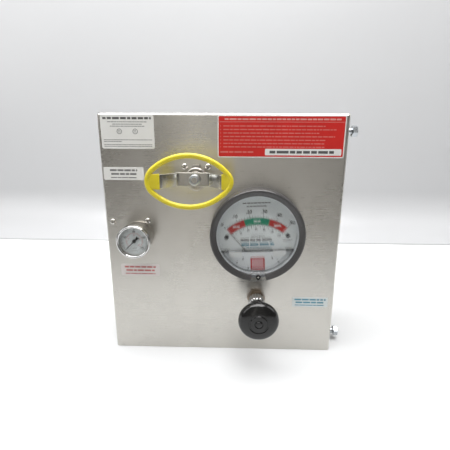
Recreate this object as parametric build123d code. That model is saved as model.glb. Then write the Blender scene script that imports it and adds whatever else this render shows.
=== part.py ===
"""Purge control unit: a stainless wall box that feeds clean air to a closed cabinet.

A folded stainless box carries two valves and two gauges on its front.  Air enters on the left, passes a
filter and a regulator, and leaves on the right either through a quarter-turn ball valve (fast exchange)
or through a needle valve (holding pressure).  A dial gauge shows the exchange pressure, and a large
differential gauge shows the cabinet's pressure.  Four studs on the right wall bolt the box to a cabinet.

Millimetres, +Z up, X to the right of someone facing the front, Y into the box.  The origin is under the
middle of the whole object's box, on the surface that the unit stands on.
"""

from build123d import *
import math
import os

# ---------------------------------------------------------------- driving dimensions
WIDTH = 305.0            # box, left to right
HEIGHT = 323.0
DEPTH = 116.5            # front face to the rear cover's outer face
SHEET = 1.5
FOLD_R, LIP_R = 3.4, 1.0 # outside radii of the front's upright folds, and of its top and bottom folds
CORNER_R = (3.5, 1.5)    # the front's upper corners, left and right
FLANGE = 15.0            # lips all round the front, and returns at the walls' rear
SEAM = 0.4               # gap between the cover's flanges and the front sheet

SIDE_REACH = 19.0        # studs on the right and supply fitting on the left stand out this far
KNOB_FRONT = 72.0        # needle valve knob's face, ahead of the panel
SCREW_HEAD_H = 2.4
REAR_REACH = DEPTH + SCREW_HEAD_H
PANEL_Y = (KNOB_FRONT - REAR_REACH) / 2     # puts the origin under the middle of the whole box

VALVE_X, VALVE_Z = -32.0, 246.5             # quarter-turn valve
NEEDLE_X, NEEDLE_Z = 46.4, 82.0             # needle valve
DP_X, DP_Z = 45.0, 174.5                    # differential gauge
DP_TILT = 2.5                               # the gauge sits turned by this much, anticlockwise
DIAL_X, DIAL_Z = -110.5, 167.5              # exchange pressure gauge

SCREW_R, SCREW_HEAD_R, SCREW_CLEAR = 2.0, 4.1, 2.2
SCREW_LENGTH = 9.0
NUT_AF, NUT_H = 7.0, 3.2
BRACKET_SCREWS = [(-143.0, 187.0), (-97.0, 188.5)]      # regulator bracket
VALVE_SCREWS = [(-47.0, 259.2), (-17.6, 259.2)]         # valve bracket
COVER_SCREWS = [(side * 143.0, z) for side in (-1, 1) for z in (60.0, 160.0, 260.0)]

STUD_Y, STUD_Z = (30.0, 85.0), (14.0, 302.0)
STUD_R, SHANK_R = 3.5, 4.0                  # thread, and the plain shank between the threads
SHANK = (3.5, 11.0)                         # the shank's length, measured out from the wall

LABEL_T = 0.2

SMALL_TUBE, LARGE_TUBE, GAUGE_TUBE = 3.175, 6.35, 2.0   # tube radii
SMALL_BORE, LARGE_BORE = 3.2, 6.4                       # sockets that take those tubes
TUBE_WALL = 0.9

SUPPLY_Y, SUPPLY_Z = 62.0, 102.0            # filter and regulator stack, and the supply fitting
STACK_X = -120.0
REG_HALF = 28.0                             # half of the regulator body's width
OUTLET_Y, OUTLET_Z = 75.0, 255.0
REF_Y, REF_REACH = 61.0, 15.8
DP_PORT = 20.0                              # the gauge's rear ports, each side of its middle
REF_X = DP_X + DP_PORT * math.cos(math.radians(DP_TILT))
REF_Z = DP_Z + DP_PORT * math.sin(math.radians(DP_TILT))
FEED_Z = 195.0                              # regulator outlet
TEE = 12.0                                  # half of a tee block's side
TEE_FEED = (-60.0, SUPPLY_Y, FEED_Z)
BALL_Y = 26.0                               # centre of the ball, behind the panel
TEE_VALVE = (VALVE_X, BALL_Y, VALVE_Z + 42.0)
TEE_OUT = (110.0, OUTLET_Y, OUTLET_Z)
NEEDLE_IN_Y, NEEDLE_OUT_Y = 25.0, 16.0

HALF = WIDTH / 2
parts = {}


# ---------------------------------------------------------------- helpers
def block(x0, x1, y0, y1, z0, z1):
    centre = ((x0 + x1) / 2, (y0 + y1) / 2, (z0 + z1) / 2)
    return Pos(*centre) * Box(abs(x1 - x0), abs(y1 - y0), abs(z1 - z0))


def rod_x(y, z, r, x0, x1):
    return Pos((x0 + x1) / 2, y, z) * Rot(0, 90, 0) * Cylinder(r, abs(x1 - x0))


def rod_y(x, z, r, y0, y1):
    return Pos(x, (y0 + y1) / 2, z) * Rot(90, 0, 0) * Cylinder(r, abs(y1 - y0))


def rod_z(x, y, r, z0, z1):
    return Pos(x, y, (z0 + z1) / 2) * Cylinder(r, abs(z1 - z0))


def hex_bar(across_flats, length):
    """A hexagon bar along Z, centred, with a flat towards +Y."""
    return Pos(0, 0, -length / 2) * extrude(RegularPolygon(across_flats / 2, 6, major_radius=False), length)


def hex_x(y, z, af, x0, x1):
    return Pos((x0 + x1) / 2, y, z) * Rot(0, 90, 0) * hex_bar(af, abs(x1 - x0))


def hex_y(x, z, af, y0, y1):
    return Pos(x, (y0 + y1) / 2, z) * Rot(90, 0, 0) * hex_bar(af, abs(y1 - y0))


def turned(points):
    """A solid of revolution about Y from (radius, y) points."""
    return revolve(make_face(Polyline(*points, close=True)), Axis.Y)


def slab(outline, y0, y1):
    """A flat plate with an (x, z) outline between two depths."""
    face = make_face(Polyline(*[(x, y0, z) for x, z in outline], close=True))
    plate = extrude(face, amount=y1 - y0, dir=(0, 1, 0))
    return plate


def pan_screw(x, z, head_y):
    """A cross-head screw driven along +Y, its head's seat at head_y."""
    head = turned([(0, -SCREW_HEAD_H), (2.4, -SCREW_HEAD_H), (3.6, -1.7), (SCREW_HEAD_R, -0.7),
                   (SCREW_HEAD_R, 0), (0, 0)])
    shank = rod_y(0, 0, SCREW_R, 0, SCREW_LENGTH)
    cross = block(-1.9, 1.9, -3, -1.2, -0.4, 0.4) + block(-0.4, 0.4, -3, -1.2, -1.9, 1.9)
    return Pos(x, head_y, z) * (head + shank - cross)


def tube(points, r, bend):
    """A hollow tube whose centre line is straight runs joined by arcs."""
    path = FilletPolyline(*points, radius=bend) if len(points) > 2 else Line(*points)
    start = Plane(origin=path @ 0, z_dir=path % 0)
    outer = sweep(start * Circle(r), path=path)
    inner = sweep(start * Circle(r - TUBE_WALL), path=path)
    return outer - inner


def tee(centre):
    """A tee block with a chamber, drilled by the caller where a tube meets it."""
    x, y, z = centre
    return block(x - TEE, x + TEE, y - TEE, y + TEE, z - TEE, z + TEE)


# ---------------------------------------------------------------- box
def envelope():
    """The box's outer block, its upper corners rounded as the front's are."""
    outer = block(-HALF, HALF, 0, DEPTH, 0, HEIGHT)
    for side, r in zip((-1, 1), CORNER_R):
        x, reach = side * HALF, 0.01
        corner = outer.edges().filter_by(Axis.Y).filter_by_position(Axis.X, x - reach, x + reach)
        outer = fillet(corner.filter_by_position(Axis.Z, HEIGHT - reach, HEIGHT + reach), r)
    return outer


def make_front_panel():
    """A shallow pressed tray: the front sheet and its lips, holed for everything that is mounted on it."""
    panel = envelope() & block(-HALF, HALF, 0, FLANGE, 0, HEIGHT)
    panel = fillet(panel.edges().filter_by(Axis.Z).filter_by_position(Axis.Y, -0.01, 0.01), FOLD_R)
    front = panel.edges().filter_by(Axis.X).filter_by_position(Axis.Y, -0.01, 0.01)
    panel = fillet(front, LIP_R)
    hollow = block(-HALF + SHEET, HALF - SHEET, SHEET, FLANGE + 1, SHEET, HEIGHT - SHEET)
    inner_fold = hollow.edges().filter_by(Axis.Z).filter_by_position(Axis.Y, 0, SHEET + 0.01)
    panel -= fillet(inner_fold, FOLD_R - SHEET)
    panel -= rod_y(DP_X, DP_Z, 58.0, -1, 3)
    panel -= rod_y(NEEDLE_X, NEEDLE_Z, 8.3, -1, 3)
    panel -= rod_y(VALVE_X, VALVE_Z, 9.4, -1, 3)
    panel -= rod_y(DIAL_X, DIAL_Z, 6.0, -1, 3)
    for x, z in BRACKET_SCREWS + VALVE_SCREWS:
        panel -= rod_y(x, z, SCREW_CLEAR, -1, 3)
    return panel


def make_walls():
    """Left and right walls, welded flush to the tray's lips, each with a return that takes the cover."""
    walls = []
    for side in (-1, 1):
        wall = block(side * (HALF - SHEET), side * HALF, FLANGE, DEPTH - SHEET, 0, HEIGHT)
        wall += block(side * (HALF - FLANGE), side * HALF, DEPTH - 2 * SHEET, DEPTH - SHEET, 2 * SHEET,
                      HEIGHT - 2 * SHEET)
        for x, z in COVER_SCREWS:
            wall -= rod_y(x, z, SCREW_CLEAR, DEPTH - 4, DEPTH)
        walls.append(wall & envelope())
    left, right = walls
    left -= rod_x(SUPPLY_Y, SUPPLY_Z, 7.2, -HALF - 1, -HALF + 3)
    right -= rod_x(OUTLET_Y, OUTLET_Z, 10.2, HALF - 3, HALF + 1)
    right -= rod_x(REF_Y, REF_Z, 7.2, HALF - 3, HALF + 1)
    for y in STUD_Y:
        for z in STUD_Z:
            right -= rod_x(y, z, STUD_R + 0.2, HALF - 3, HALF + 1)
    return left, right


def make_rear_cover():
    """Back plate with top and bottom flanges that close the box between the side walls."""
    plate = block(-HALF, HALF, DEPTH - SHEET, DEPTH, 0, HEIGHT)
    inside = HALF - SHEET - SEAM
    cover = plate
    for z0 in (0.0, HEIGHT - SHEET):
        cover += block(-inside, inside, FLANGE + SEAM, DEPTH, z0, z0 + SHEET)
    for x, z in COVER_SCREWS:
        cover -= rod_y(x, z, SCREW_CLEAR, DEPTH - 3, DEPTH + 1)
    rear = cover.edges().filter_by(Axis.X).filter_by_position(Axis.Y, DEPTH - 0.01, DEPTH + 0.01)
    return fillet(rear, 1.2) & envelope()


def nut_y(x, z, y0):
    return hex_y(x, z, NUT_AF, y0, y0 + NUT_H) - rod_y(x, z, SCREW_R, y0 - 1, y0 + NUT_H + 1)


def make_fasteners():
    screws = [pan_screw(x, z, 0) for x, z in BRACKET_SCREWS + VALVE_SCREWS]
    screws += [Pos(0, DEPTH, 0) * Rot(0, 0, 180) * pan_screw(-x, z, 0) for x, z in COVER_SCREWS]
    bracket_y = SHEET + 2.0
    nuts = [nut_y(x, z, bracket_y) for x, z in BRACKET_SCREWS + VALVE_SCREWS]
    nuts += [nut_y(x, z, DEPTH - 2 * SHEET - NUT_H) for x, z in COVER_SCREWS]
    return screws, nuts


def make_studs():
    """Double-ended studs: threaded ends and a plain shank between, with inner nuts, seals and outer nuts."""
    studs, seals, nuts = [], [], []
    for y in STUD_Y:
        for z in STUD_Z:
            bar = rod_x(y, z, STUD_R, HALF - 9.5, HALF + SIDE_REACH)
            bar = chamfer(bar.edges().filter_by_position(Axis.X, HALF + SIDE_REACH - 0.01, HALF + 30), 0.6)
            studs.append(bar + rod_x(y, z, SHANK_R, HALF + SHANK[0], HALF + SHANK[1]))
            seals.append(rod_x(y, z, 7.6, HALF, HALF + 3.0) - rod_x(y, z, STUD_R, HALF - 1, HALF + 4))
            for x0, x1 in ((HALF - SHEET - 6.5, HALF - SHEET), (HALF + 11.2, HALF + 17.7)):
                nuts.append(hex_x(y, z, 13.0, x0, x1) - rod_x(y, z, STUD_R, x0 - 1, x1 + 1))
    return studs, seals, nuts


# ---------------------------------------------------------------- labels
def make_label(x0, x1, z0, z1, corner):
    sheet = block(x0, x1, -LABEL_T, 0, z0, z1)
    return fillet(sheet.edges().filter_by(Axis.Y), corner)


def make_labels():
    return {
        "label_rating": make_label(-148.5, -83.0, 280.5, 320.8, 2.5),
        "label_instructions": make_label(-5.9, 147.8, 270.7, 320.8, 2.0),
        "label_exchange_valve": make_label(-149.5, -98.5, 241.8, 258.0, 1.5),
        "label_exchange_pressure": make_label(-137.2, -84.6, 111.0, 128.0, 2.5),
        "label_pressure_valve": make_label(96.2, 144.5, 68.2, 82.8, 1.0),
    }


# ---------------------------------------------------------------- quarter-turn valve
BAR_Y, BAR_T, BAR_HALF_Z = -21.25, 2.5, 8.2
GRIP_Y = -40.0
GRIP_CENTRE, GRIP_A, GRIP_B, GRIP_END_R = -4.9, 48.4, 29.7, 15.0
GRIP_R, CORE_R = 3.15, 2.3


def grip_path():
    """Oval of four tangent arcs in the plane of the grip, about the valve's axis."""
    a, b, r = GRIP_A, GRIP_B, GRIP_END_R
    drop = ((a - r) ** 2 - (b - r) ** 2) / (2 * (b - r))        # long arcs' centres, below and above
    lean = math.atan2(a - r, drop)                              # where a long arc meets an end arc
    end_x, end_z = a - r + r * math.sin(lean), r * math.cos(lean)
    at = lambda x, z: (GRIP_CENTRE + x, GRIP_Y, z)
    return Wire([
        ThreePointArc(at(-end_x, end_z), at(0, b), at(end_x, end_z)),
        ThreePointArc(at(end_x, end_z), at(a, 0), at(end_x, -end_z)),
        ThreePointArc(at(end_x, -end_z), at(0, -b), at(-end_x, -end_z)),
        ThreePointArc(at(-end_x, -end_z), at(-a, 0), at(-end_x, end_z)),
    ])


def make_handle():
    """Joggled bar with its welded rim, the vinyl dipped over the rim, and the hub nut."""
    path = grip_path()
    start = Plane(origin=path @ 0, z_dir=path % 0)
    rim = sweep(start * Circle(CORE_R), path=path, transition=Transition.ROUND)
    skin = sweep(start * Circle(GRIP_R), path=path, transition=Transition.ROUND)
    line = FilletPolyline((-52, GRIP_Y), (-38, GRIP_Y), (-25, BAR_Y), (18, BAR_Y), (32, GRIP_Y), (42, GRIP_Y),
                          radius=2.5)
    bar = Pos(0, 0, -BAR_HALF_Z) * extrude(trace(line, BAR_T), 2 * BAR_HALF_Z)
    core = bar + rim - rod_y(0, 0, 4.0, -30, 0)
    sleeve_z, sleeve_t = BAR_HALF_Z + 0.9, BAR_T / 2 + 0.9
    for x0, x1 in ((-GRIP_A + GRIP_CENTRE, -38.5), (32.5, GRIP_A + GRIP_CENTRE)):
        skin += block(x0, x1, GRIP_Y - sleeve_t, GRIP_Y + sleeve_t, -sleeve_z, sleeve_z)
    nut = rod_y(0, 0, 6.5, -29.5, -22.5) - rod_y(0, 0, 3.6, -30, -22)
    here = Pos(VALVE_X, 0, VALVE_Z)
    return here * core, here * (skin - core), here * nut


def make_ball_valve():
    """Body across Z behind the panel, its neck through the panel, a ball with its bore across X (shut)."""
    body = rod_z(0, BALL_Y, 15.0, -30, 30) + rod_y(0, 0, 9.0, -6, BALL_Y - 8)
    for z0, z1 in ((-30, -22), (22, 30)):
        body += Pos(0, BALL_Y, (z0 + z1) / 2) * hex_bar(30.0, z1 - z0)
    body -= Pos(0, BALL_Y, 0) * Sphere(10.4)
    body -= rod_z(0, BALL_Y, LARGE_TUBE, -31, 31)
    body -= rod_z(0, BALL_Y, 9.0, -14, 14)
    body -= rod_y(0, 0, 4.3, -7, BALL_Y - 6)
    ball = Pos(0, BALL_Y, 0) * Sphere(10.0) - rod_x(BALL_Y, 0, LARGE_TUBE, -12, 12)
    ball -= block(-3, 3, BALL_Y - 11, BALL_Y - 7.4, -1.5, 1.5)
    seat = rod_z(0, BALL_Y, 8.9, 7.8, 13.9) - rod_z(0, BALL_Y, LARGE_TUBE, 7, 15)
    seat -= Pos(0, BALL_Y, 0) * Sphere(10.1)
    stem = rod_y(0, 0, 4.0, -22.4, BALL_Y - 10.4) + rod_y(0, 0, 3.6, -29.2, -22)
    stem += block(-2.8, 2.8, BALL_Y - 11, BALL_Y - 7.6, -1.4, 1.4)
    bonnet = rod_y(0, 0, 13.0, -12.0, 0) + rod_y(0, -5.8, 10.4, -12.8, 0)
    bonnet += slab([(-6, 9.5), (6, 9.5), (4.2, 16.0), (-4.2, 16.0)], -10.6, 0)
    bonnet += hex_y(0, 0, 15.0, -18.6, -12.0)
    bonnet -= rod_y(0, 0, 9.05, -6, 1) + rod_y(0, 0, 4.3, -19, 1)
    bracket_y = SHEET + 2.0
    bracket = block(-22, 22, SHEET, bracket_y, -18, 18) - rod_y(0, 0, 9.0, 0, 5)
    for side in (-1, 1):
        bracket += block(side * 15.2, side * 17.2, SHEET, BALL_Y + 8, -12, -4)
    here = Pos(VALVE_X, 0, VALVE_Z)
    bracket = here * bracket
    for x, z in VALVE_SCREWS:
        bracket -= rod_y(x, z, SCREW_CLEAR, 0, 5)
    seats = [here * seat, here * (Rot(180, 0, 0) * Pos(0, -2 * BALL_Y, 0) * seat)]
    return {
        "exchange_valve_body": here * body,
        "exchange_valve_seats": Compound(seats),
        "exchange_valve_ball": here * ball,
        "exchange_valve_stem": here * stem,
        "exchange_valve_bonnet": here * bonnet,
        "exchange_valve_bracket": bracket,
    }


# ---------------------------------------------------------------- needle valve
def make_needle_valve():
    bore = 4.3
    body = block(-13, 13, 6, 32, -13, 13) + rod_y(0, 0, 8.0, -9, 7)
    body -= rod_y(0, 0, bore, -10, 20) + rod_y(0, 0, 2.0, 19, 28)
    body -= rod_x(NEEDLE_IN_Y, 0, SMALL_TUBE - TUBE_WALL, -14, 0)
    body -= rod_x(NEEDLE_OUT_Y, 0, SMALL_TUBE - TUBE_WALL, 0, 14)
    panel_nut = hex_y(0, 0, 21.0, -7, 0) - rod_y(0, 0, 8.0, -8, 1)
    bonnet = turned([(bore, -9), (10.0, -9), (10.0, -22), (7.5, -24), (bore, -24)])
    rib = block(-0.8, 0.8, -21.5, -10, 9.6, 11.0)
    ribs = 16
    for n in range(ribs):
        bonnet += Rot(0, 360.0 * n / ribs, 0) * rib
    stem = turned([(0, -58), (4.0, -58), (4.0, 15.0), (1.2, 19.4), (0, 19.4)])
    knob = turned([(4.05, -42), (10.0, -42), (11.5, -46), (17.5, -52.5), (22.6, -56.0), (24.2, -58.8),
                   (24.6, -61.5), (24.2, -64.6), (22.8, -67.4), (20.0, -69.2), (13.0, -71.0), (12.0, -70.4),
                   (10.6, -70.4), (9.6, -71.2), (4.6, -71.6), (4.2, -72.0), (0, -72.0), (0, -59.0),
                   (4.05, -59.0)])
    here = Pos(NEEDLE_X, 0, NEEDLE_Z)
    return {
        "needle_valve_body": here * body,
        "needle_panel_nut": here * panel_nut,
        "needle_valve_bonnet": here * bonnet,
        "needle_stem": here * stem,
        "needle_knob": here * knob,
    }


# ---------------------------------------------------------------- differential gauge
DP_PIVOT_Z = -39.4          # pointer's pivot, below the gauge's middle
DP_ZERO = 40.0              # pointer's angle at zero, anticlockwise from straight up
DP_SPLIT_Z = -22.0          # lower edge of the scale plate
DP_FRONT = -21.5            # the bezel's foremost ring
DP_SEAT = DP_FRONT + 4.5    # the lens's outer face, which the bezel holds
ZERO_Z = -54.2              # zero screw, below the gauge's middle


def make_dp_gauge():
    front, seat, back = DP_FRONT, DP_SEAT, DP_SEAT + 3.0
    case = turned([(0, 22), (53.5, 22), (53.5, back), (56.8, back), (56.8, 30), (50, 38), (0, 38)])
    case += rod_y(0, 0, 11.0, 37, 44)
    for side in (-1, 1):
        case -= rod_y(side * DP_PORT, 0, SMALL_TUBE - TUBE_WALL, 21, 39)
    bezel = turned([(57.0, 0), (60.3, 0), (60.3, front + 2.4), (59.6, front + 0.8), (58.2, front),
                    (56.4, front + 0.1), (52.4, front + 1.6), (51.8, front + 2.2), (51.8, seat), (57.0, seat)])
    bezel -= block(-9.8, 9.8, front - 1, back + 0.5, -62, -48.8)
    lens = rod_y(0, 0, 56.7, seat, back)
    boss = block(-9.5, 9.5, front + 0.6, back, -59.2, -49.0) & rod_y(0, 0, 59.8, front, back)
    lens += boss
    lens -= rod_y(0, ZERO_Z, 3.4, front, seat - 0.9) + rod_y(0, ZERO_Z, 1.8, seat - 1.5, back - 0.5)
    zero = rod_y(0, ZERO_Z, 3.0, front + 0.4, seat - 1.2) + rod_y(0, ZERO_Z, 1.4, seat - 1.5, back - 0.9)
    zero -= block(-3.5, 3.5, front, front + 1.4, ZERO_Z - 0.4, ZERO_Z + 0.4)
    face = rod_y(0, 0, 52.6, -5.4, -4.6)
    dial = face - block(-60, 60, -6, -4, -60, DP_SPLIT_Z)
    lower = rod_y(0, 0, 52.6, -2.6, -1.6) - block(-60, 60, -4, 0, DP_SPLIT_Z - 1.5, 60)
    lower += block(-30, -27, -8.2, -1.7, -27.5, -24.5) + block(27, 30, -8.2, -1.7, -27.5, -24.5)
    lower += slab([(-34, -23.4), (34, -23.4), (34, -34), (22, -45), (12, -48.6), (-12, -48.6), (-22, -45),
                   (-34, -34)], -9.0, -8.2)
    screws = [rod_y(x, -3.5, 2.8, -6.6, -5.4) for x in (-39.4, 39.4)]
    lower -= rod_y(0, DP_PIVOT_Z, 1.1, -3, 0)
    needle = slab([(-0.45, 4), (0.45, 4), (0.45, 40), (0.2, 55), (-0.2, 55), (-0.45, 40)], -7.4, -6.9)
    needle += rod_y(0, 0, 4.5, -7.9, -6.4) + rod_y(0, 0, 0.8, -6.5, 9.5) + rod_y(0, 0, 2.6, 1.0, 9.0)
    pointer = Pos(0, 0, DP_PIVOT_Z) * Rot(0, -DP_ZERO, 0) * needle
    diaphragm = turned([(0, 15.6), (20, 15.6), (24, 17.4), (28, 15.6), (32, 17.4), (36, 15.6), (40, 17.4),
                        (44, 15.6), (53.5, 15.6), (53.5, 16.2), (44.4, 16.2), (40, 18.0), (36, 16.2),
                        (32, 18.0), (28, 16.2), (24, 18.0), (20, 16.2), (0, 16.2)])
    spring = block(-4, 4, 11.0, 11.6, DP_PIVOT_Z - 5, 36) + rod_y(0, 0, 2.0, 11.5, 15.6)
    spring += block(-4, 4, 11.5, 22, 30, 36) - rod_y(0, 0, 53.5, 14.9, 18.4)
    for side in (-1, 1):
        spring += block(side * 3.6, side * 6.0, 2.0, 11.6, DP_PIVOT_Z - 5, DP_PIVOT_Z + 5)
    clamp = turned([(57.2, SHEET), (61.5, SHEET), (61.5, 6), (57.2, 6)])
    for angle in (0, 120, 240):
        clamp += Rot(0, angle, 0) * block(-6, 6, SHEET, 6, 61, 67)
    here = Pos(DP_X, 0, DP_Z) * Rot(0, -DP_TILT, 0)
    return {
        "dp_case": here * case,
        "dp_bezel": here * bezel,
        "dp_lens": here * lens,
        "dp_dial": here * dial,
        "dp_dial_screws": Compound([here * s for s in screws]),
        "dp_movement_bracket": here * lower,
        "dp_diaphragm": here * diaphragm,
        "dp_range_spring": here * spring,
        "dp_pointer": here * pointer,
        "dp_zero_screw": here * zero,
        "dp_clamp_ring": here * clamp,
    }


# ---------------------------------------------------------------- exchange pressure gauge
DIAL_ZERO = 135.0           # pointer's angle at zero, anticlockwise from straight up


def make_dial_gauge():
    case = turned([(0, -3), (18.8, -3), (18.8, -23), (20.3, -23), (20.3, -2.5), (18.8, -1), (0, -1)])
    bezel = turned([(20.3, -21), (22.0, -21), (22.0, -26.2), (21.0, -27.6), (19.6, -28.0), (18.4, -27.4),
                    (18.2, -26.4), (19.7, -26.4), (19.7, -23), (20.3, -23)])
    lens = rod_y(0, 0, 19.6, -26.4, -24.6)
    dial = rod_y(0, 0, 18.7, -20.5, -19.9) - rod_y(0, 0, 1.0, -21, -19)
    needle = slab([(-0.5, 2), (0.5, 2), (0.15, 14.5), (-0.15, 14.5)], -22.4, -21.9)
    tail = slab([(-0.6, -2), (0.6, -2), (2.0, -7.6), (-2.0, -7.6)], -22.4, -21.9)
    pointer = needle + tail + rod_y(0, 0, 2.4, -22.6, -21.6) + rod_y(0, 0, 0.7, -21.7, -6.0)
    pointer = Rot(0, -DIAL_ZERO, 0) * pointer
    section = make_face(Polyline((11.2, -13.0), (12.6, -13.0), (12.6, -8.0), (11.2, -8.0), close=True))
    bourdon = Rot(0, 40, 0) * revolve(section, Axis.Y, 280) + block(-3, 3, -9, -3, -13.5, -10.5)
    connector = rod_y(0, 0, 5.0, -1, 21) + block(-6, 6, 20, 32, -6, 6)
    here = Pos(DIAL_X, 0, DIAL_Z)
    return {
        "gauge_case": here * case,
        "gauge_bezel": here * bezel,
        "gauge_lens": here * lens,
        "gauge_dial": here * dial,
        "gauge_pointer": here * pointer,
        "gauge_bourdon_tube": here * bourdon,
        "gauge_connector": here * connector,
    }


# ---------------------------------------------------------------- filter and regulator
def make_stack():
    x, y = STACK_X, SUPPLY_Y
    body = block(x - REG_HALF, x + REG_HALF, y - 22, y + 22, 175, 215) - rod_z(x, y, 5.4, 174, 190)
    body -= rod_x(y, FEED_Z, 5.4, x, x + REG_HALF + 1)
    bonnet = rod_z(x, y, 20.0, 215, 255) - rod_z(x, y, 4.3, 240, 256)
    knob = rod_z(x, y, 17.0, 258, 284) + rod_z(x, y, 4.0, 243, 259)
    knob = fillet(knob.edges().filter_by_position(Axis.Z, 283.9, 284.1), 2.0)
    outside = REG_HALF + 2
    bracket = block(x - outside, x + outside, SHEET, SHEET + 2, 178, 198)
    for side in (-1, 1):
        bracket += block(x + side * REG_HALF, x + side * outside, SHEET, 48, 178, 198)
    for sx, sz in BRACKET_SCREWS:
        bracket -= rod_y(sx, sz, SCREW_CLEAR, 0, 5)
    head = block(x - 22, x + 22, y - 22, y + 22, 88, 116) - rod_z(x, y, 5.4, 100, 117)
    head -= rod_x(y, SUPPLY_Z, 2.4, x - 23, x)
    bowl = rod_z(x, y, 19.0, 36, 88) - rod_z(x, y, 16.5, 40, 89) - rod_z(x, y, 3.3, 35, 41)
    element = rod_z(x, y, 11.0, 52, 88) - rod_z(x, y, 6.0, 56, 89)
    drain = rod_z(x, y, 3.0, 30, 42) + rod_z(x, y, 6.5, 25, 33) - rod_z(x, y, 1.2, 20, 50)
    return {
        "regulator_body": body,
        "regulator_bonnet": bonnet,
        "regulator_knob": knob,
        "regulator_bracket": bracket,
        "filter_head": head,
        "filter_bowl": bowl,
        "filter_element": element,
        "filter_drain": drain,
    }


# ---------------------------------------------------------------- fittings and tubes
def make_fitting(y, z, side, inner_end, out_reach, hex_af, barrel_r, thread_r, bore_r, way_r):
    """A bulkhead fitting through a side wall: hexagon and tube socket outside, thread and nut inside."""
    wall = side * HALF
    out = lambda d: wall + side * d
    fitting = hex_x(y, z, hex_af, wall, out(8.0)) + rod_x(y, z, barrel_r, out(7.9), out(out_reach))
    fitting += rod_x(y, z, thread_r, inner_end, wall)
    fitting += hex_x(y, z, hex_af + 2, out(-SHEET), out(-SHEET - 5))
    fitting -= rod_x(y, z, bore_r, out(out_reach - 14), out(out_reach + 1))
    return fitting - rod_x(y, z, way_r, inner_end - side, out(out_reach - 13))


def tube_nut(end, direction, length, af, r):
    """A hexagon nut around a tube, from the tube's end along a direction."""
    nut = Pos(0, 0, length / 2) * (hex_bar(af, length) - Cylinder(r, length + 2))
    return Plane(origin=end, z_dir=direction) * nut


def make_pipework():
    tx, ty, tz = TEE_FEED
    vx, vy, vz = TEE_VALVE
    ox, oy, oz = TEE_OUT
    reg_out = STACK_X + REG_HALF
    needle_left, needle_right = NEEDLE_X - 13, NEEDLE_X + 13
    valve_foot = VALVE_Z - 30
    large = [
        tube([(reg_out, ty, tz), (tx - TEE, ty, tz)], LARGE_TUBE, 0),
        tube([(tx + TEE, ty, tz), (vx, ty, tz), (vx, vy, tz), (vx, vy, valve_foot)], LARGE_TUBE, 9.5),
        tube([(vx, vy + TEE, vz), (vx, oy, vz), (ox, oy, vz), (ox, oy, oz + TEE)], LARGE_TUBE, 12),
        tube([(STACK_X, SUPPLY_Y, 116), (STACK_X, SUPPLY_Y, 175)], LARGE_TUBE, 0),
    ]
    feed = [(tx, ty, tz - TEE), (tx, ty, NEEDLE_Z), (tx, NEEDLE_IN_Y, NEEDLE_Z),
            (needle_left, NEEDLE_IN_Y, NEEDLE_Z)]
    hold = [(needle_right, NEEDLE_OUT_Y, NEEDLE_Z), (ox, NEEDLE_OUT_Y, NEEDLE_Z), (ox, oy, NEEDLE_Z),
            (ox, oy, oz - TEE)]
    sense = [(135.0, REF_Y, REF_Z), (REF_X, REF_Y, REF_Z), (REF_X, 38.0, REF_Z)]
    gauge_line = [(DIAL_X, BALL_Y, DIAL_Z + 6), (DIAL_X, BALL_Y, vz), (vx - TEE, BALL_Y, vz)]
    small = [tube(feed, SMALL_TUBE, 14), tube(hold, SMALL_TUBE, 14), tube(sense, SMALL_TUBE, 8),
             tube(gauge_line, GAUGE_TUBE, 12)]
    tees = [
        tee(TEE_FEED) - rod_x(ty, tz, 5.4, tx - 13, tx + 13) - rod_z(tx, ty, 2.2, tz - 13, tz),
        tee(TEE_VALVE) - rod_z(vx, vy, 5.4, vz - 13, vz) - rod_y(vx, vz, 5.4, vy, vy + 13)
        - rod_x(vy, vz, 1.1, vx - 13, vx),
        tee(TEE_OUT) - rod_z(ox, oy, 5.4, oz, oz + 13) - rod_x(oy, oz, 5.0, ox, ox + 13)
        - rod_z(ox, oy, 2.2, oz - 13, oz),
    ]
    small_nut = lambda end, way: tube_nut(end, way, 9.0, 14.0, SMALL_TUBE)
    large_nut = lambda end, way: tube_nut(end, way, 6.0, 20.0, LARGE_TUBE)
    nuts = [
        small_nut(feed[0], (0, 0, -1)), small_nut(feed[-1], (-1, 0, 0)),
        small_nut(hold[0], (1, 0, 0)), small_nut(hold[-1], (0, 0, -1)),
        small_nut(sense[0], (-1, 0, 0)), small_nut(sense[-1], (0, 1, 0)),
        large_nut((reg_out, ty, tz), (1, 0, 0)), large_nut((tx - TEE, ty, tz), (-1, 0, 0)),
        large_nut((tx + TEE, ty, tz), (1, 0, 0)), large_nut((vx, vy, valve_foot), (0, 0, -1)),
        large_nut((vx, vy + TEE, vz), (0, 1, 0)), large_nut((ox, oy, oz + TEE), (0, 0, 1)),
        large_nut((STACK_X, SUPPLY_Y, 116), (0, 0, 1)), large_nut((STACK_X, SUPPLY_Y, 175), (0, 0, -1)),
    ]
    return {
        "large_tubes": Compound(large),
        "small_tubes": Compound(small),
        "tube_tees": Compound(tees),
        "tube_nuts": Compound(nuts),
        "small_fittings": Compound([
            make_fitting(SUPPLY_Y, SUPPLY_Z, -1, STACK_X - 22, SIDE_REACH, 18, 8, 7, SMALL_BORE, 2.4),
            make_fitting(REF_Y, REF_Z, 1, 135.0, REF_REACH, 18, 8, 7, SMALL_BORE, 2.4)]),
        "outlet_fitting": make_fitting(OUTLET_Y, OUTLET_Z, 1, TEE_OUT[0] + TEE, 18.5, 24, 11, 10,
                                       LARGE_BORE, 5.0),
    }


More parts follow.
